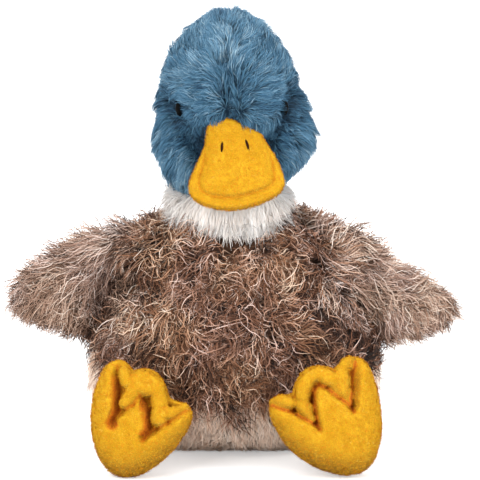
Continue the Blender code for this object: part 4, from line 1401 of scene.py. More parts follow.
@dataclass
class Ruff:
    """The white collar between the body and the neck."""

    filling: Filling = Filling(voxel=4 * MM, cap=2 * MM)
    lean: float = 6 * MM
    start: Three = (0.0, 0.010, 0.143)
    end: Three = (0.0, 0.010, 0.172)
    pile: Pile = Pile(
        WHITE_STRANDS,
        per_cm2=230,
        length=13 * MM,
        width=0.55 * MM,
        lift=0.34,
        droop=0.6,
        wander=0.3,
        curl=0.7 * MM,
        turns=0.8,
        clump=0.12,
        lock_gap=4 * MM,
        lock_turn=0.15,
        shade_spread=0.2,
        segments=5,
        shading=1.0,
    )

    def comb(self, points: np.ndarray, _: np.ndarray) -> np.ndarray:
        """Brushes the collar down and outwards.

        Args:
            points: the roots.

        Returns:
            The way of the pile.
        """
        out = points - axis_place()
        out[:, 2] = 0
        return 0.55 * unit(out) + np.array([0, 0, -1.0])

    def build(self) -> None:
        """Builds the collar and its pile."""
        nodes = ("neck_ruff", "neck_stuffing")
        skin = stuffed_skin("ruff_skin", nodes, self.filling)
        points = points_of(skin)
        points[:, 0] -= self.lean * smooth(points[:, 0], 8 * MM, 40 * MM)
        set_points(skin, points)
        surface = Surface.of(skin)
        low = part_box("neck_ruff")[0].z + 3 * MM

        def collar(points: np.ndarray, _: np.ndarray) -> np.ndarray:
            """Says where the collar's pile grows."""
            far = np.hypot(points[:, 0], points[:, 1] - axis_place()[1])
            return (points[:, 2] > low) * smooth(far, 24 * MM, 30 * MM)

        def front(points: np.ndarray) -> np.ndarray:
            """Says how far to the front of the neck points are, from 0 to 1."""
            return smooth(-points[:, 1], -5 * MM, 20 * MM) * (1 - smooth(np.abs(points[:, 0]), 15 * MM, 45 * MM))

        lay = Lay(
            self.comb,
            where=collar,
            cut=lambda points, _: 1 + 0.3 * front(points) - 0.15 * smooth(points[:, 0], 10 * MM, 40 * MM),
            lift=lambda points, _: -0.3 * smooth(points[:, 0], 10 * MM, 38 * MM) - 0.15 * front(points),
        )
        strands = self.pile.grow("ruff_pile", surface, lay, seed=41)
        dress(skin, WHITE_BACKING, None)
        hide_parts("neck_ruff")
        for piece in [skin, *strands]:
            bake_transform(piece)


@dataclass
class Head:
    """The head with its tucked forehead, full cheeks and sunken eyes."""

    eyes: tuple["Eye", ...]
    nodes: tuple[str, ...] = ("head_cover", "head_stuffing", "cheek_left", "cheek_right")
    filling: Filling = Filling(voxel=3 * MM, cap=2.5 * MM)
    crown_lean: float = 4.5 * MM
    tuck: Line = ((-5, 268), (-6.4, 258), (-8, 248), (-3.8, 240), (-3, 231), (-1.5, 222), (-2, 214))
    tuck_depth: float = 8 * MM
    tuck_width: float = 5 * MM
    creases: tuple[Line, Line] = (
        ((-50, 231), (-42, 224), (-35, 219), (-32.8, 214), (-30, 206.5), (-22.5, 197)),
        ((44, 238), (36, 230), (31.5, 223.5), (32.9, 218), (28, 209), (20, 201)),
    )
    crease_depth: float = 6.5 * MM
    crease_width: float = 4 * MM
    crown_rise: float = 2.6 * MM
    # Heights, and how far the outline is moved there on the left and on the right, in millimetres.
    sides: tuple[Three, ...] = (
        (165, -16, 5), (177, -14.5, 4.5), (190, -7, 3.2), (198, -1.8, 1),
        (206, 0, -0.5), (214, 0, -2.2), (223, 0.5, -2.4), (234, 0, 0),
    )
    bill_top: Line = (
        (-22, 195), (-19.5, 204), (-17.5, 211), (-13.5, 215), (-2.5, 215), (6.5, 210), (15.6, 206), (17, 202),
        (22, 196),
    )
    pile: Pile = Pile(
        BLUE_STRANDS,
        per_cm2=200,
        length=9.5 * MM,
        width=0.5 * MM,
        lift=0.5,
        droop=0.15,
        wander=0.3,
        curl=0.7 * MM,
        turns=0.8,
        clump=0.55,
        lock_gap=4.5 * MM,
        lock_turn=0.25,
        lock_shade=0.09,
        shade_spread=0.16,
        segments=4,
        shading=0.5,
    )

    def sculpt(self, skin: bpy.types.Object) -> None:
        """Leans the crown, sets the sides, and presses the tuck and the creases into the skin.

        Args:
            skin: the head's skin.
        """
        points, normals = points_of(skin), normals_of(skin)
        points[:, 0] -= self.crown_lean * smooth(points[:, 2], 205 * MM, 245 * MM)
        peak = np.exp(-(((points[:, 0] + 6 * MM) / (15 * MM)) ** 2))
        points[:, 2] += self.crown_rise * peak * smooth(points[:, 2], 240 * MM, 275 * MM)
        heights, *shifts = np.array(self.sides).T * MM
        for side, shift in zip(Side, shifts):
            reach = smooth(side.value * points[:, 0], 8 * MM, 36 * MM)
            points[:, 0] += reach * np.interp(points[:, 2], heights, shift)
        far, along = line_distance(points[:, [0, 2]], np.array(self.tuck) * MM)
        deep = self.tuck_depth * smooth(along, 0.0, 0.7) * np.exp(-((far / self.tuck_width) ** 2))
        points[:, 1] += deep * smooth(-points[:, 1], 5 * MM, 20 * MM)
        points -= normals * (self.crease_depth * self.crease(points, self.crease_width))[:, None]
        set_points(skin, points)

    def crease(self, points: np.ndarray, width: float) -> np.ndarray:
        """Says how near points are to a crease that runs from a cheek's top past the eye to the bill.

        Args:
            points: points in the row frame.
            width: how far a crease reaches.

        Returns:
            1 in a crease and 0 away from it.
        """
        front = smooth(-points[:, 1], -15 * MM, 5 * MM)
        return front * np.maximum(*(bump(points, line, width) for line in self.creases))

    def comb(self, points: np.ndarray, _: np.ndarray) -> np.ndarray:
        """Brushes the pile away from the tuck, and down at the back and on the cheeks.

        Args:
            points: the roots.

        Returns:
            The way of the pile.
        """
        _, along = line_distance(points[:, [0, 2]], np.array(self.tuck) * MM)
        corners = np.array(self.tuck) * MM
        steps = along * (len(corners) - 1)
        near = np.stack([np.interp(steps, range(len(corners)), corners[:, axis]) for axis in (0, 1)], axis=1)
        away = points[:, [0, 2]] - near
        rise = away[:, 1] + (0.25 + 1.5 * smooth(points[:, 2], 232 * MM, 262 * MM)) * np.abs(away[:, 0]) + 1 * MM
        away = unit(np.stack([away[:, 0], np.full(len(points), 4 * MM), rise], axis=1))
        back = smooth(points[:, 1], -10 * MM, 30 * MM)[:, None]
        cheek = smooth(-points[:, 2], -228 * MM, -204 * MM) * smooth(np.abs(points[:, 0]), 20 * MM, 32 * MM)
        low = np.maximum(smooth(-points[:, 2], -215 * MM, -190 * MM), cheek)[:, None]
        outward = np.sign(points[:, :1]) * np.array([1.0, 0, 0])
        way = away * (1 - back) * (1 - 0.6 * low) + np.array([0, 0, -1.0]) * (back + 0.8 * low) + 0.35 * outward * low
        brow = self.brow(points)[:, None]
        return way * (1 - brow) + np.array([0, -0.5, -1.0]) * brow

    def brow(self, points: np.ndarray) -> np.ndarray:
        """Says how near points are to the forehead's lower edge over the bill, from 0 to 1."""
        front = smooth(-points[:, 1], 5 * MM, 25 * MM) * (1 - smooth(np.abs(points[:, 0]), 20 * MM, 30 * MM))
        return front * (1 - smooth(points[:, 2], 213 * MM, 226 * MM))

    def round_eyes(self, points: np.ndarray) -> np.ndarray:
        """Says how near points are to an eye, from 0 to 1."""
        return np.exp(-((self.from_eyes(points) / (8 * MM)) ** 2))

    def from_eyes(self, points: np.ndarray) -> np.ndarray:
        """Finds how far points are from the nearer eye.

        Args:
            points: points in the row frame.

        Returns:
            The distances, where heights count less along an eye's slit.
        """
        far = []
        for eye in self.eyes:
            far.append(np.linalg.norm((points - eye.seat()[0]) * np.array([1, 1, 0.7]), axis=1))
        return np.min(far, axis=0)

    def tone(self, points: np.ndarray, _: np.ndarray) -> np.ndarray:
        """Darkens the pile in the tuck, over the bill, in the creases and round the eyes as painted shade, and
        lightens the upper sides as painted light.

        Args:
            points: the roots.

        Returns:
            What is added to the strands' shade.
        """
        front = smooth(-points[:, 1], 5 * MM, 25 * MM)
        tuck = front * bump(points, self.tuck[3:], 11 * MM)
        brow = self.brow(points)
        upper = smooth(points[:, 2], 225 * MM, 250 * MM)
        cheek = 1 - smooth(points[:, 2], 205 * MM, 220 * MM)
        gaps = self.crease(points, 6 * MM) + front * bump(points, self.bill_top, 4 * MM) + self.round_eyes(points)
        gaps += 0.8 * front * bump(points, self.tuck[2:], 2.2 * MM)
        return 0.06 * upper - 0.08 * tuck - 0.06 * brow - 0.25 * gaps + 0.03 * cheek * (1 - brow)

    def build(self) -> None:
        """Builds the head and its pile."""
        skin = stuffed_skin("head_skin", self.nodes, self.filling)
        self.sculpt(skin)
        holder = Grown("head", "blue_plush", BLUE_BACKING, 0.7)
        surface = holder.settle_skin(skin, self.nodes)
        _, bill_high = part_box("bill_upper")

        def covered(points: np.ndarray, _: np.ndarray) -> np.ndarray:
            """Says where the head's pile grows: not behind the bill or over the eyes."""
            behind_bill = (np.abs(points[:, 0]) < 15 * MM) & (points[:, 2] < bill_high.z - 4 * MM)
            behind_bill &= points[:, 1] < -20 * MM
            return (1.0 - behind_bill) * smooth(self.from_eyes(points), 2 * MM, 3 * MM)

        def cut(points: np.ndarray, _: np.ndarray) -> np.ndarray:
            """Shears the pile in the creases and the tuck, and over the bill's upper right corner."""
            corner = self.brow(points) * smooth(-points[:, 0], -2 * MM, 6 * MM)
            gaps = 0.45 * self.crease(points, 5 * MM) + 0.5 * bump(points, self.tuck[2:], 2.5 * MM)
            return 1 - gaps - 0.45 * corner - 0.25 * self.brow(points) - 0.5 * self.round_eyes(points)

        lay = Lay(
            self.comb,
            where=covered,
            cut=cut,
            lift=lambda points, _: 0.15 * (1 - smooth(points[:, 2], 200 * MM, 220 * MM)),
            tone=self.tone,
            parted=lambda points, _: np.maximum(*(eye.parting(points) for eye in self.eyes)),
        )
        holder.plant(self.pile.grow("head_pile", surface, lay, seed=54))


@dataclass
class Eye:
    """A glossy black dome sunk in the pile, which is brushed apart before it."""

    side: Side
    sunk: float
    inwards: float
    slit: tuple[float, float] = (0.6 * MM, 2.7 * MM)
    width: float = 2.5 * MM
    height: float = 5.0 * MM
    dome: float = 2.8 * MM
    foot: float = 1.2 * MM
    rings: int = 12
    sides: int = 40

    def seat(self) -> tuple[np.ndarray, np.ndarray, np.ndarray, np.ndarray]:
        """Finds where the dome sits over the frame's eye.

        Returns:
            The middle of its seat, and the ways outwards, across and up.
        """
        node = frame["nodes"][f"eye_{self.side.word}"]
        low, high = (np.array(corner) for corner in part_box(node.name))
        points = np.array([vertex.co for vertex in node.data.vertices])
        middle = (low + high) / 2
        head = np.array([0, axis_place()[1], middle[2]])
        out = unit((middle - head)[None])[0]
        across = unit(np.cross([0, 0, 1.0], out)[None])[0]
        reach = ((points - middle) @ out).max() - self.dome - self.sunk
        return middle + out * reach - self.side.value * across * self.inwards, out, across, np.cross(out, across)

    def parting(self, points: np.ndarray) -> np.ndarray:
        """Says where the pile is parted before the dome, as 0 or 1."""
        seat, out, _, _ = self.seat()
        beside = points - seat - out * self.dome / 2
        near = (beside[:, 0] / self.slit[0]) ** 2 + (beside[:, 2] / self.slit[1]) ** 2 < 1
        return (near & (beside[:, 1] < 2 * MM)).astype(float)

    def build(self) -> None:
        """Builds the dome."""
        seat, out, across, up = self.seat()
        turns = np.linspace(0, math.tau, self.sides, endpoint=False)
        spokes = np.cos(turns)[:, None] * across * self.width + np.sin(turns)[:, None] * up * self.height
        rows = [seat + out * self.dome]
        for lean in np.linspace(0, math.pi / 2, self.rings + 1)[1:]:
            rows.append(seat + spokes * math.sin(lean) + out * self.dome * math.cos(lean))
        rows += [seat + spokes - out * self.foot, seat - out * self.foot]
        made = ringed(f"eye_dome_{self.side.word}", rows, self.sides)
        dress(made, BLACK_PLASTIC, "head")
        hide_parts(f"eye_{self.side.word}")


@dataclass
class Bill:
    """The bill: a raised middle inside a soft brim, with two stitched nostrils."""

    root: Three = (0.001, -0.039, 0.208)
    droop: float = math.radians(24)
    # Across and along from the root, in millimetres.
    outline: Line = (
        (-2, -7.8), (4.5, -5.0), (10.5, -1.6), (16.2, 1.6), (17.6, 6), (21.4, 11.6), (25.2, 18.4), (28.6, 26.5),
        (30.3, 32.7), (29.8, 36.8), (26.8, 41), (19.1, 45.4), (9.7, 49), (1.2, 51.1), (-7.3, 51.4), (-15.9, 50),
        (-24.4, 47), (-29.4, 42.6), (-30.5, 37.6), (-29.2, 30.6), (-26.2, 24), (-22.8, 16), (-20.4, 9.8),
        (-19.4, 4.2), (-18.4, -3.6), (-15.6, -9.2), (-8, -9.6),
    )
    middle: tuple[float, float] = (0, 24)
    brim: float = 8 * MM
    lip: float = 4.4 * MM
    rim: float = 3.2 * MM
    rise: float = 8.5 * MM
    under: float = 5.5 * MM
    around: int = 144
    nostrils: tuple[Line, Line] = (((-9.1, 8.6), (-9.4, 15.4)), ((5.5, 6.8), (7.6, 14.5)))
    thread: float = 0.85 * MM

    def axes(self) -> tuple[np.ndarray, np.ndarray, np.ndarray]:
        """Finds the bill's own directions.

        Returns:
            Across, along from the root to the tip, and out of its upper face.
        """
        along = np.array([0, -math.sin(self.droop), -math.cos(self.droop)])
        across = np.array([1.0, 0, 0])
        return across, along, np.cross(along, across)

    def place(self, flat: np.ndarray, height: np.ndarray) -> np.ndarray:
        """Places points of the bill in the row frame.

        Args:
            flat: across and along, in rows.
            height: out of the mid plane.

        Returns:
            The points.
        """
        across, along, out = self.axes()
        return np.array(self.root) + flat[:, :1] * across + flat[:, 1:2] * along + height[:, None] * out

    def height(self, share: np.ndarray, reach: np.ndarray, flat: np.ndarray) -> np.ndarray:
        """Finds the upper face's height.

        Args:
            share: the way from the middle to the outline.
            reach: the outline's distance in that direction.
            flat: across and along.

        Returns:
            The height above the mid plane.
        """
        low = smooth(flat[:, 1], 6 * MM, 38 * MM)
        edge = np.clip(1 - self.brim * (0.15 + 0.85 * low) / reach, 0.3, 0.985)
        pad = (self.rise - self.lip) * (1 - np.clip(share / edge, 0, 1) ** 2.4) ** 0.9
        outer = np.clip((share * reach - reach + self.rim) / self.rim, 0, 1)
        groove = 0.8 * MM * np.exp(-(((share - edge) * reach / (1.2 * MM)) ** 2))
        groove *= smooth(flat[:, 1], 8 * MM, 16 * MM)
        return self.lip * np.sqrt(1 - outer**2) + pad - groove

    def face(self) -> bpy.types.Object:
        """Builds the bill's covers as one skin.

        Returns:
            The skin.
        """
        outline = (np.array(self.outline) - self.middle) * MM
        turns = np.linspace(0, math.tau, self.around, endpoint=False)
        reach = polar_reach(outline, turns)
        spokes = np.stack([np.cos(turns), np.sin(turns)], axis=1)
        shares = np.concatenate([np.linspace(0, 0.6, 8)[1:], np.linspace(0.6, 1, 26)[1:]])
        rows = [self.place(np.array([self.middle]) * MM, np.array([self.rise]))]
        for share in shares:
            flat = spokes * (reach * share)[:, None] + np.array(self.middle) * MM
            height = self.height(np.full(self.around, share), reach, flat)
            rows.append(self.place(flat, height))
        for share in np.linspace(1, 0, 12)[1:-1]:
            flat = spokes * (reach * share)[:, None] + np.array(self.middle) * MM
            rows.append(self.place(flat, np.full(self.around, -self.under * (1 - share**2.5) ** 0.5)))
        rows.append(self.place(np.array([self.middle]) * MM, np.array([-self.under])))
        return ringed("bill_skin", rows, self.around)

    def build(self) -> None:
        """Builds the bill with its stitches."""
        skin = self.face()
        relax = skin.modifiers.new("Relax", "SMOOTH")
        relax.iterations = 3
        rounder = skin.modifiers.new("Round", "SUBSURF")
        rounder.levels = rounder.render_levels = 1
        settle(skin)
        skin.data.shade_smooth()
        # Painted shade in the folds and where the skin faces down, for the finish to read.
        mark_folds(skin, ((30, 1.6 * MM),), under=0.75)
        dress(skin, YELLOW_PILE, "head")
        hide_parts("bill_upper", "bill_lower", "bill_padding")
        surface = Surface.of(skin)
        folds = fold_tone(skin, 0.35)

        def rim(points: np.ndarray, normals: np.ndarray) -> np.ndarray:
            """Says how far points lie on the bill's lower rim, from 0 to 1."""
            return smooth(-normals[:, 2], 0.25, 0.7) * smooth(-points[:, 1], 60 * MM, 75 * MM)

        # The nap is longer on the lower rim; painted shade darkens it in the folds and on that rim, which faces down.
        down = Lay(
            steady(0.0, -0.3, -1.0),
            cut=lambda points, normals: 1 + 0.9 * rim(points, normals),
            tone=lambda points, normals: folds(points, normals) - 0.2 * rim(points, normals),
        )
        for piece in NAP.grow("bill_nap", surface, down, seed=71):
            dress(piece, None, "head")
        for side, ends in zip((Side.RIGHT, Side.LEFT), self.nostrils):
            self.stitch(side, ends, surface)

    def stitch(self, side: Side, ends: Line, surface: Surface) -> None:
        """Sews a nostril onto the upper face.

        Args:
            side: the nostril's side.
            ends: across and along at its two ends, in millimetres.
            surface: the bill's skin.
        """
        _, _, out = self.axes()
        curve = bpy.data.curves.new(f"nostril_stitch_{side.word}", "CURVE")
        curve.dimensions = "3D"
        curve.bevel_depth = self.thread
        curve.bevel_resolution = 3
        curve.use_fill_caps = True
        spline = curve.splines.new("POLY")
        spline.points.add(8)
        first, last = np.array(ends) * MM
        for point, share in zip(spline.points, np.linspace(0, 1, 9)):
            place = self.place((first + (last - first) * share)[None], np.zeros(1))[0]
            beside = surface.points - place
            off = np.linalg.norm(beside - (beside @ out)[:, None] * out, axis=1)
            level = (beside[off < 1.5 * MM] @ out).max()
            bow = math.sin(math.pi * share)
            point.co = (*(place + out * (level - 0.5 * MM + 0.7 * MM * bow)), 1)
            point.radius = 0.55 + 0.45 * bow
        made = add_object(curve.name, curve)
        dress(made, BROWN_THREAD, "head")
        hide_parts(f"nostril_{side.word}")


def ringed(name: str, rows: list[np.ndarray], around: int) -> bpy.types.Object:
    """Skins a closed form over rings, with a point at each end.

    Args:
        name: the piece's name.
        rows: the first point, the rings and the last point.
        around: how many points each ring has.

    Returns:
        The mesh object, its faces outwards.
    """
    points = np.concatenate([np.atleast_2d(row) for row in rows])
    shape = bmesh.new()
    corners = [shape.verts.new(point) for point in points]
    rings = len(rows) - 2
    for number in range(around):
        after = (number + 1) % around
        shape.faces.new((corners[0], corners[1 + number], corners[1 + after]))
        for ring in range(rings - 1):
            near, far = 1 + ring * around, 1 + (ring + 1) * around
            loop = (near + number, far + number, far + after, near + after)
            shape.faces.new([corners[corner] for corner in loop])
        last = 1 + (rings - 1) * around
        shape.faces.new((corners[last + number], corners[-1], corners[last + after]))
    bmesh.ops.recalc_face_normals(shape, faces=shape.faces)
    mesh = bpy.data.meshes.new(name)
    shape.to_mesh(mesh)
    shape.free()
    mesh.shade_smooth()
    return add_object(name, mesh)


@dataclass
class Leg:
    """A short cream leg behind its foot."""

    side: Side
    filling: Filling = Filling(voxel=3.5 * MM, cap=1.5 * MM)
    pile: Pile = Pile(
        CREAM_STRANDS, per_cm2=90, length=6 * MM, width=0.6 * MM, lift=0.5, wander=0.6, segments=3, lock_gap=3 * MM
    )
    fringe: Pile = replace(Body.pile, per_cm2=110, length=12 * MM, curl=2 * MM, segments=5)
    fringe_from: float = 36 * MM

    def build(self) -> None:
        """Builds the leg and its pile, cream below and shaggy on top."""
        node = f"leg_{self.side.word}"
        skin = stuffed_skin(f"{node}_skin", (node,), self.filling)
        holder = Grown(node, "cream_plush", CREAM_BACKING, 0.6)
        surface = holder.settle_skin(skin, (node,))
        ankle = np.array(joint_place(f"foot_{self.side.word}_flop"))

        def shaft(points: np.ndarray, _: np.ndarray) -> np.ndarray:
            """Says where the leg's pile grows: not in the ankle's socket."""
            return smooth(np.linalg.norm(points - ankle, axis=1), 15 * MM, 18 * MM)

        def top(points: np.ndarray) -> np.ndarray:
            """Says how far points lie on the leg's top, from 0 to 1."""
            return smooth(points[:, 2] - self.fringe_from, 0.0, 3 * MM)

        def dark(points: np.ndarray, _: np.ndarray) -> np.ndarray:
            """Keeps the fringe a little darker than the body's pile."""
            return np.full(len(points), -0.06)

        down = steady(0.0, -1.0, -0.4)
        cream = Lay(down, where=lambda points, _: shaft(points, _) * (1 - top(points)))
        brown = Lay(down, where=lambda points, _: shaft(points, _) * top(points), tone=dark)
        holder.plant(self.pile.grow(f"{node}_pile", surface, cream, seed=60 + self.side.value))
        holder.plant(self.fringe.grow(f"{node}_fringe", surface, brown, seed=64 + self.side.value))


def joint_place(name: str) -> Three:
    """Reads a point on the axis of the joint with this name."""
    found = next(joint for joint in frame["joints"] if joint["name"] == name)
    return tuple(found["pos_m"])


@dataclass(frozen=True)
class FootPattern:
    """The lines of a foot, in millimetres outwards and upwards from its middle.

    The outline starts at the outer toe's top and goes down and round to the inner toe's tip, which is its corner of
    that number, and over the middle toe. The cut runs in between the toes. A flank is how wide a toe rises from the
    cut, by the share of the way along it. A roll has its radius, how far it stands out, and its course.
    """

    outline: Line
    tip: int
    cut: Line
    flanks: Line
    rolls: tuple[tuple[float, float, Line], ...]
    # Painted shade: how much fold shade the wide flanks get, how much lower-side shade they and what lies behind the
    # toes' edges get, and how much fold shade the cut's line gets.
    flank_fold: float
    flank_shade: float
    line_fold: float


OPEN_FOOT = FootPattern(
    outline=(
        (11.6, 39.8), (15.5, 38.6), (19, 35.7), (23.7, 25.2), (26.5, 13.4), (26.9, 0.8), (25.3, -10.3), (21.2, -21),
        (15, -28.5), (7.5, -31.3), (-1.2, -29.8), (-10, -24.8), (-19.3, -16.7), (-26.2, -7.9), (-31.2, 0.2),
        (-33.7, 8.3), (-31.9, 12), (-27.5, 14.6), (-22.5, 15.6), (-19.3, 17.4), (-18.1, 20.8), (-16.2, 27),
        (-11.9, 32.6), (-6.3, 35.1), (-1.2, 34.4), (2.2, 32.5), (3.6, 34.5), (5.4, 37.7), (8.8, 39.5),
    ),
    tip=15,
    cut=(
        (11.7, 36), (10, 27), (9.3, 18), (9.4, 10), (12.8, 2.5), (8.5, 8), (5, 11), (0.7, 14), (-3.6, 19.8),
        (-6.2, 15), (-8.6, 10.5), (-9.8, 4), (-9.4, -2), (-6, -6.4), (-10, -3.4), (-13, -1.3), (-17, 1.5), (-22, 5),
        (-28, 9.2), (-31.5, 11),
    ),
    flanks=((0, 6.2), (0.2, 6.2), (0.24, 2.6), (0.4, 2.6), (0.44, 5.2), (0.66, 5.2), (0.7, 2.8), (1, 2.8)),
    rolls=(
        (3.9, 0.6, ((7.0, 33), (5.6, 29), (4.9, 26.5))),
        (4.3, 0.6, ((5.4, 14.6), (3, 17.8), (0.4, 21.6))),
        (4.4, 0.6, ((-2.2, 24.6), (-6.4, 22.6))),
        (5.1, 0.6, ((1.2, 26), (-2.5, 29.2), (-7.5, 28.8), (-11.8, 24.7), (-13.9, 18.5), (-14.2, 15))),
        (4.6, 0.6, ((-14, 9.4), (-14.6, 5))),
        (3.9, 0.6, ((-18.4, 8.2), (-21.2, 8.6))),
        (3.2, 0.6, ((-24, 10.4), (-28.8, 11.8))),
    ),
    flank_fold=0.75,
    flank_shade=0.3,
    line_fold=0.3,
)
CLOSED_FOOT = FootPattern(
    outline=(
        (14.9, 39.1), (18.3, 37.5), (20.6, 33.7), (23.7, 24.6), (25.7, 14.5), (27, 3.9), (27.1, -4.7), (25.6, -13.7),
        (23.3, -21.2), (19.1, -26.6), (14.4, -29.2), (8, -30), (-1.2, -27.5), (-12.6, -21.6), (-22.1, -12.8),
        (-28.8, -1.6), (-31.5, 4.5), (-32.5, 10), (-31.1, 14), (-27.7, 16.7), (-23.6, 17.8), (-19.9, 17.9),
        (-19.2, 21.7), (-17.5, 26.6), (-14.3, 31.6), (-9.7, 34.2), (-5.1, 34.6), (-0.5, 33.5), (2.7, 31.4),
        (5.2, 31.8), (6.4, 34.5), (9.1, 37.7), (11.9, 38.9),
    ),
    tip=17,
    cut=(
        (12.9, 36.3), (12.4, 31.8), (11.4, 25.9), (10.7, 20.9), (9.7, 16), (9.8, 12), (11.3, 8), (8, 12.6), (5, 15.1),
        (1.8, 17.7), (-1.4, 20.7), (-4.1, 22.8), (-7.4, 23.6), (-9.6, 19.5), (-9.4, 13.5), (-8.9, 8.5), (-8.6, 4),
        (-7.1, -1.8), (-9.2, 0.8), (-12.5, 3.1), (-16.5, 5.2), (-19.7, 7.8), (-23.3, 9.1), (-27.3, 10.5), (-31, 12.1),
    ),
    flanks=((0, 5.6), (0.22, 5.6), (0.25, 2.2), (1, 2)),
    rolls=(
        (4.2, 0.8, ((8.2, 34.6), (10.2, 35.4))),
        (4.6, -1.4, ((6.0, 31), (6.4, 24))),
        (3.9, -1.6, ((6.8, 21.5), (7.5, 17.5))),
        (2.4, -1.6, ((8.2, 14.6), (8.6, 13.4))),
        (3.2, -1.2, ((1.2, 22.4), (3.4, 19.4))),
        (4.7, 1.0, ((-15.3, 17.2), (-14.4, 22.6), (-11.6, 27.6), (-6.9, 29.6), (-2.2, 28.8), (0.8, 26))),
        (3.0, 0.2, ((0.4, 24.4), (-3.4, 26))),
        (4.5, -1.0, ((-15.8, 13.2), (-14, 9.6))),
        (2.9, -1.2, ((-12.8, 6.8), (-11.6, 4.4))),
        (4.6, 0.4, ((-23, 13.3), (-26.4, 13.6))),
        (3.0, 0.4, ((-28.4, 13.8), (-30, 13.4))),
    ),
    flank_fold=0.12,
    flank_shade=0.8,
    line_fold=0.7,
)


@dataclass
class Foot:
    """A mitten foot: three padded toes in front, and the upper's folds rolling out between them."""

    side: Side
    pattern: FootPattern
    width: float
    tall: float
    shift: tuple[float, float]
    lean: float = math.radians(6)
    yaw: float = math.radians(7)
    ahead: float = 18 * MM
    bulge: float = 13.5 * MM
    behind: float = 14 * MM
    sunk: float = 11.5 * MM
    around: int = 180
    voxel: float = 1.0 * MM

    def axes(self) -> tuple[np.ndarray, np.ndarray, np.ndarray]:
        """Finds the foot's own directions.

        Returns:
            Outwards, upwards, and forwards through the sole.
        """
        sign = self.side.value
        turn = Matrix.Rotation(self.yaw * sign, 3, "Z") @ Matrix.Rotation(-self.lean, 3, "X")
        return tuple(np.array(turn @ Vector(way)) for way in ((sign, 0, 0), (0, 0, 1), (0, -1, 0)))

    def place(self, flat: np.ndarray, height: np.ndarray) -> np.ndarray:
        """Places points of the foot in the row frame.

        Args:
            flat: outwards and upwards, in rows.
            height: forwards of the seam.

        Returns:
            The points.
        """
        out, up, forward = self.axes()
        middle = np.array(joint_place(f"foot_{self.side.word}_flop")) + forward * self.ahead
        middle += self.shift[0] * out + self.shift[1] * up
        return middle + flat[:, :1] * self.width * out + flat[:, 1:2] * self.tall * up + height[:, None] * forward

    def pads(self) -> np.ndarray:
        """Gives the outline of the toes' padded front."""
        return np.array(self.pattern.cut + self.pattern.outline[self.pattern.tip :: -1]) * MM

    def sole_height(self, share: np.ndarray, flat: np.ndarray) -> np.ndarray:
        """Finds how far the front stands forward.

        Args:
            share: the way from the middle to the outline.
            flat: outwards and upwards.

        Returns:
            The height above the seam.
        """
        dome = self.bulge * (1 - share**3.0) ** 0.55
        far, along = line_distance(flat, np.array(self.pattern.cut) * MM)
        signed = np.where(inside_outline(flat, self.pads()), far, -far)
        flank = np.interp(along, *zip(*self.pattern.flanks)) * MM
        raised = smooth(signed, -0.8 * MM, flank) ** 0.75
        return dome - self.sunk * (1 - raised) * (1 - share**6)

    def base(self) -> bpy.types.Object:
        """Builds the foot's closed form without its rolls.

        Returns:
            The mesh object.
        """
        turns = np.linspace(0, math.tau, self.around, endpoint=False)
        reach = polar_reach(np.array(self.pattern.outline) * MM, turns)
        spokes = np.stack([np.cos(turns), np.sin(turns)], axis=1)
        rows = []
        for share in np.linspace(0, 1, 44)[1:]:
            flat = spokes * (reach * share)[:, None]
            rows.append(self.place(flat, self.sole_height(np.full(self.around, share), flat)))
        for share in np.linspace(1, 0, 16)[1:-1]:
            flat = spokes * (reach * share)[:, None]
            rows.append(self.place(flat, np.full(self.around, -self.behind * (1 - share**2.8) ** 0.5)))
        middle = np.zeros((1, 2))
        first = self.place(middle, self.sole_height(np.zeros(1), middle))
        last = self.place(middle, np.array([-self.behind]))
        return ringed(f"foot_skin_{self.side.word}", [first, *rows, last], self.around)

    def roll(self, radius: float, proud: float, line: Line) -> list[tuple[np.ndarray, float]]:
        """Lays balls along one of the upper's folds.

        Args:
            radius: the fold's radius.
            proud: how far it stands out.
            line: its course.

        Returns:
            The middle and radius of each ball.
        """
        corners = np.array(line) * MM
        steps = np.linspace(0, len(corners) - 1, 6 * (len(corners) - 1) + 1)
        flat = np.stack([np.interp(steps, range(len(corners)), corners[:, axis]) for axis in (0, 1)], axis=1)
        turns = np.arctan2(flat[:, 1], flat[:, 0])
        even = np.linspace(0, math.tau, self.around, endpoint=False)
        edge = polar_reach(np.array(self.pattern.outline) * MM, even)
        reach = np.interp(turns % math.tau, even, edge, period=math.tau)
        share = np.clip(np.hypot(*flat.T) / reach, 0, 0.97)
        dome = self.bulge * (1 - share**3.0) ** 0.55
        bumps = radius * MM * (1 + 0.08 * np.sin(steps * 3.1 + radius))
        return list(zip(self.place(flat, dome - bumps + proud * MM), bumps))

    def beside_cut(self, points: np.ndarray) -> tuple[np.ndarray, np.ndarray, np.ndarray]:
        """Finds where points lie beside the cut between the toes.

        Args:
            points: points of the skin.

        Returns:
            How far from the cut, whether on a toe, and 1 on a toe's wide inner flank.
        """
        out, up, _ = self.axes()
        beside = points - self.place(np.zeros((1, 2)), np.zeros(1))
        flat = np.stack([beside @ out / self.width, beside @ up / self.tall], axis=1)
        far, along = line_distance(flat, np.array(self.pattern.cut) * MM)
        wide = np.interp(along, *zip(*self.pattern.flanks)) > 4
        top = 1 - smooth(flat[:, 1], 26 * MM, 33 * MM)
        on_toe = inside_outline(flat, self.pads())
        return far, on_toe, top * wide * on_toe * (1 - smooth(far, 1.5 * MM, 5.5 * MM))

    def folded(self, points: np.ndarray, normals: np.ndarray) -> np.ndarray:
        """Counts the wide flanks and the cut's line in front as folds, which get painted shade."""
        far, _, flank = self.beside_cut(points)
        line = smooth(-normals[:, 1], -0.2, 0.3) * (1 - smooth(far, 0.3 * MM, 1.5 * MM))
        return np.maximum(self.pattern.flank_fold * flank, self.pattern.line_fold * line)

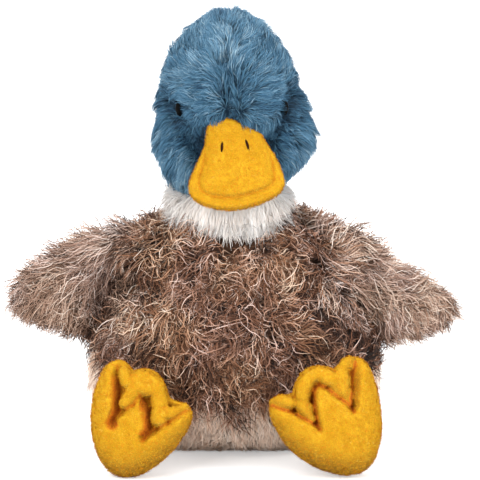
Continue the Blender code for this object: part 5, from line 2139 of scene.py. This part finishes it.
    def shaded(self, points: np.ndarray, normals: np.ndarray) -> np.ndarray:
        """Counts the wide flanks and what lies behind the toes' edges as shaded, for painted shade."""
        far, on_toe, flank = self.beside_cut(points)
        behind = (1 - on_toe) * smooth(-normals[:, 1], -0.2, 0.3) * (1 - smooth(far, 1 * MM, 6.5 * MM))
        return self.pattern.flank_shade * np.maximum(flank, 0.8 * behind)

    def build(self) -> None:
        """Builds the foot."""
        skin = self.base()
        shape = bmesh.new()
        shape.from_mesh(skin.data)
        for roll in self.pattern.rolls:
            for middle, size in self.roll(*roll):
                place = Matrix.Translation(Vector(middle))
                bmesh.ops.create_icosphere(shape, subdivisions=3, radius=size, matrix=place)
        shape.to_mesh(skin.data)
        shape.free()
        fill_out(skin, Filling(voxel=self.voxel, cap=0, pressure=0, smooths=2))
        points = points_of(skin)
        points[:, 2] = np.maximum(points[:, 2], FOOT_FLOOR)
        set_points(skin, points)
        # Painted shade in the folds, along the cut, on the wide flanks, behind the toes' edges and where the skin
        # faces down; the nap takes the fold shade too.
        mark_folds(skin, ((60, 2.2 * MM), (300, 6 * MM)), under=0.9, near=self.folded, shaded=self.shaded)
        dress(skin, YELLOW_PILE, f"foot_{self.side.word}")
        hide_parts(f"foot_sole_{self.side.word}", f"foot_upper_{self.side.word}")
        up = Lay(steady(0.0, -0.2, 1.0), tone=fold_tone(skin, 0.5))
        for piece in NAP.grow(f"foot_nap_{self.side.word}", Surface.of(skin), up, seed=72 + self.side.value):
            dress(piece, None, f"foot_{self.side.word}")


@dataclass
class Filler:
    """The pieces inside the covers, which stay as the frame has them."""

    finishes: tuple[tuple[str, str, Finish], ...] = (
        ("body_stuffing", "fibre_stuffing", replace(FIBRE, name="body fibre")),
        ("neck_stuffing", "fibre_stuffing", FIBRE),
        ("seat_pellet_bag", "pellet_bag", CALICO),
        ("eye_washer_left", "natural_plastic", NATURAL_PLASTIC),
        ("eye_washer_right", "natural_plastic", NATURAL_PLASTIC),
    )

    def build(self) -> None:
        """Gives each inner piece its finish."""
        for name, slot, finish in self.finishes:
            node = frame["nodes"][name]
            node.data.materials.clear()
            node.data.materials.append(finish.material())


@dataclass
class Studio:
    """A pale floor, soft lamps and a camera where the photograph was taken."""

    target: Three = (0.003, 0.010, 0.133)
    distance: float = 1.7
    elevation: float = math.radians(8)
    field: float = 0.312
    floor_half: float = 6.0
    floor_lift: float = 0.4
    lamps: tuple[tuple[str, Three, float, float], ...] = (
        ("key lamp", (-0.9, -1.5, 1.1), 1.2, 24.0),
        ("fill lamp", (1.1, -1.4, 0.6), 1.2, 17.0),
        ("top lamp", (0.0, 0.3, 1.8), 1.4, 14.0),
        ("back lamp", (0.2, 1.6, 0.9), 1.4, 8.0),
    )

    def floor(self) -> None:
        """Lays the floor, white to the camera and darker where the duck shades it."""
        half = self.floor_half
        corners = np.array([[-half, -half, 0], [half, -half, 0], [half, half, 0], [-half, half, 0]], float)
        made = mesh_object("floor", corners, np.array([[0, 1, 2, 3]]))
        finish, tree, shader = new_material(
            "pale floor",
            {
                "Base Color": colour("ececec"),
                "Roughness": 0.9,
                "Specular IOR Level": 0.0,
                "Emission Color": (1, 1, 1, 1),
            },
        )
        path = add_node(tree, "ShaderNodeLightPath")
        seen = add_node(
            tree,
            "ShaderNodeMath",
            {"operation": "MAXIMUM"},
            {0: path.outputs["Is Camera Ray"], 1: path.outputs["Is Glossy Ray"]},
        )
        place = add_node(tree, "ShaderNodeTexCoord").outputs["Object"]
        away = add_node(tree, "ShaderNodeVectorMath", {"operation": "LENGTH"}, {0: place})
        lift = add_node(
            tree,
            "ShaderNodeMapRange",
            {"interpolation_type": "SMOOTHSTEP"},
            {"Value": away.outputs["Value"], "From Min": 0.3, "From Max": 0.9, "To Min": self.floor_lift},
        )
        strength = add_node(
            tree, "ShaderNodeMath", {"operation": "MULTIPLY"}, {0: seen.outputs[0], 1: lift.outputs["Result"]}
        )
        tree.links.new(strength.outputs[0], shader.inputs["Emission Strength"])
        made.data.materials.append(finish)

    def sky(self) -> None:
        """Sets the world: white to the camera, a soft grey to the duck."""
        world = bpy.data.worlds.new("studio")
        bpy.context.scene.world = world
        world.use_nodes = True
        tree = world.node_tree
        back = tree.nodes["Background"]
        back.inputs["Color"].default_value = (1, 1, 1, 1)
        path = add_node(tree, "ShaderNodeLightPath")
        strength = add_node(
            tree,
            "ShaderNodeMapRange",
            links={"Value": path.outputs["Is Camera Ray"], "To Min": 0.85, "To Max": 1.0},
        )
        tree.links.new(strength.outputs["Result"], back.inputs["Strength"])

    def light(self) -> None:
        """Hangs the lamps, each facing the duck."""
        for name, place, size, power in self.lamps:
            lamp = bpy.data.lights.new(name, "AREA")
            lamp.shape = "DISK"
            lamp.size = size
            lamp.energy = power
            made = add_object(name, lamp)
            made.location = place
            way = Vector(self.target) - Vector(place)
            made.rotation_euler = way.to_track_quat("-Z", "Y").to_euler()

    def camera(self) -> None:
        """Sets up the camera at the photograph's angle."""
        lens = bpy.data.cameras.new("camera")
        lens.sensor_width = 36
        lens.lens = 36 * self.distance / self.field
        lens.clip_start, lens.clip_end = 0.05, 50
        made = add_object("camera", lens)
        back = Vector((0, -math.cos(self.elevation), math.sin(self.elevation)))
        made.location = Vector(self.target) + back * self.distance
        made.rotation_euler = (-back).to_track_quat("-Z", "Y").to_euler()
        bpy.context.scene.camera = made
        bpy.context.scene.view_settings.view_transform = "Standard"

    def build(self) -> None:
        """Builds the studio."""
        self.floor()
        self.sky()
        self.light()
        self.camera()


def main() -> None:
    """Builds the duck's looks piece by piece."""
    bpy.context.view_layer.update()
    eyes = Eye(Side.LEFT, 2 * MM, 0.0), Eye(Side.RIGHT, -3 * MM, -0.8 * MM)
    pieces = [Studio(), Filler(), Body(), Ruff(), Head(eyes), Tail(), Bill()]
    pieces.append(Foot(Side.LEFT, CLOSED_FOOT, 1.17, 1.06, (-1.5 * MM, 3.4 * MM)))
    pieces.append(Foot(Side.RIGHT, OPEN_FOOT, 1.04, 1.025, (0.6 * MM, 2.3 * MM)))
    pieces += [
        Wing(Side.LEFT, sag=(15 * MM, -7 * MM), crest=(0.4, -0.05), tip=0.28, slope=0.5),
        Wing(Side.RIGHT, sag=(-1 * MM, -8 * MM), crest=(0.8, 0.12), tip=0.12, slope=0.3),
    ]
    for piece in (*pieces, *map(Leg, Side), *eyes):
        piece.build()
        LOG.info("built %s", type(piece).__name__)


if __name__ == "__main__":
    logging.basicConfig(level=logging.INFO, format="%(name)s: %(message)s")
    main()
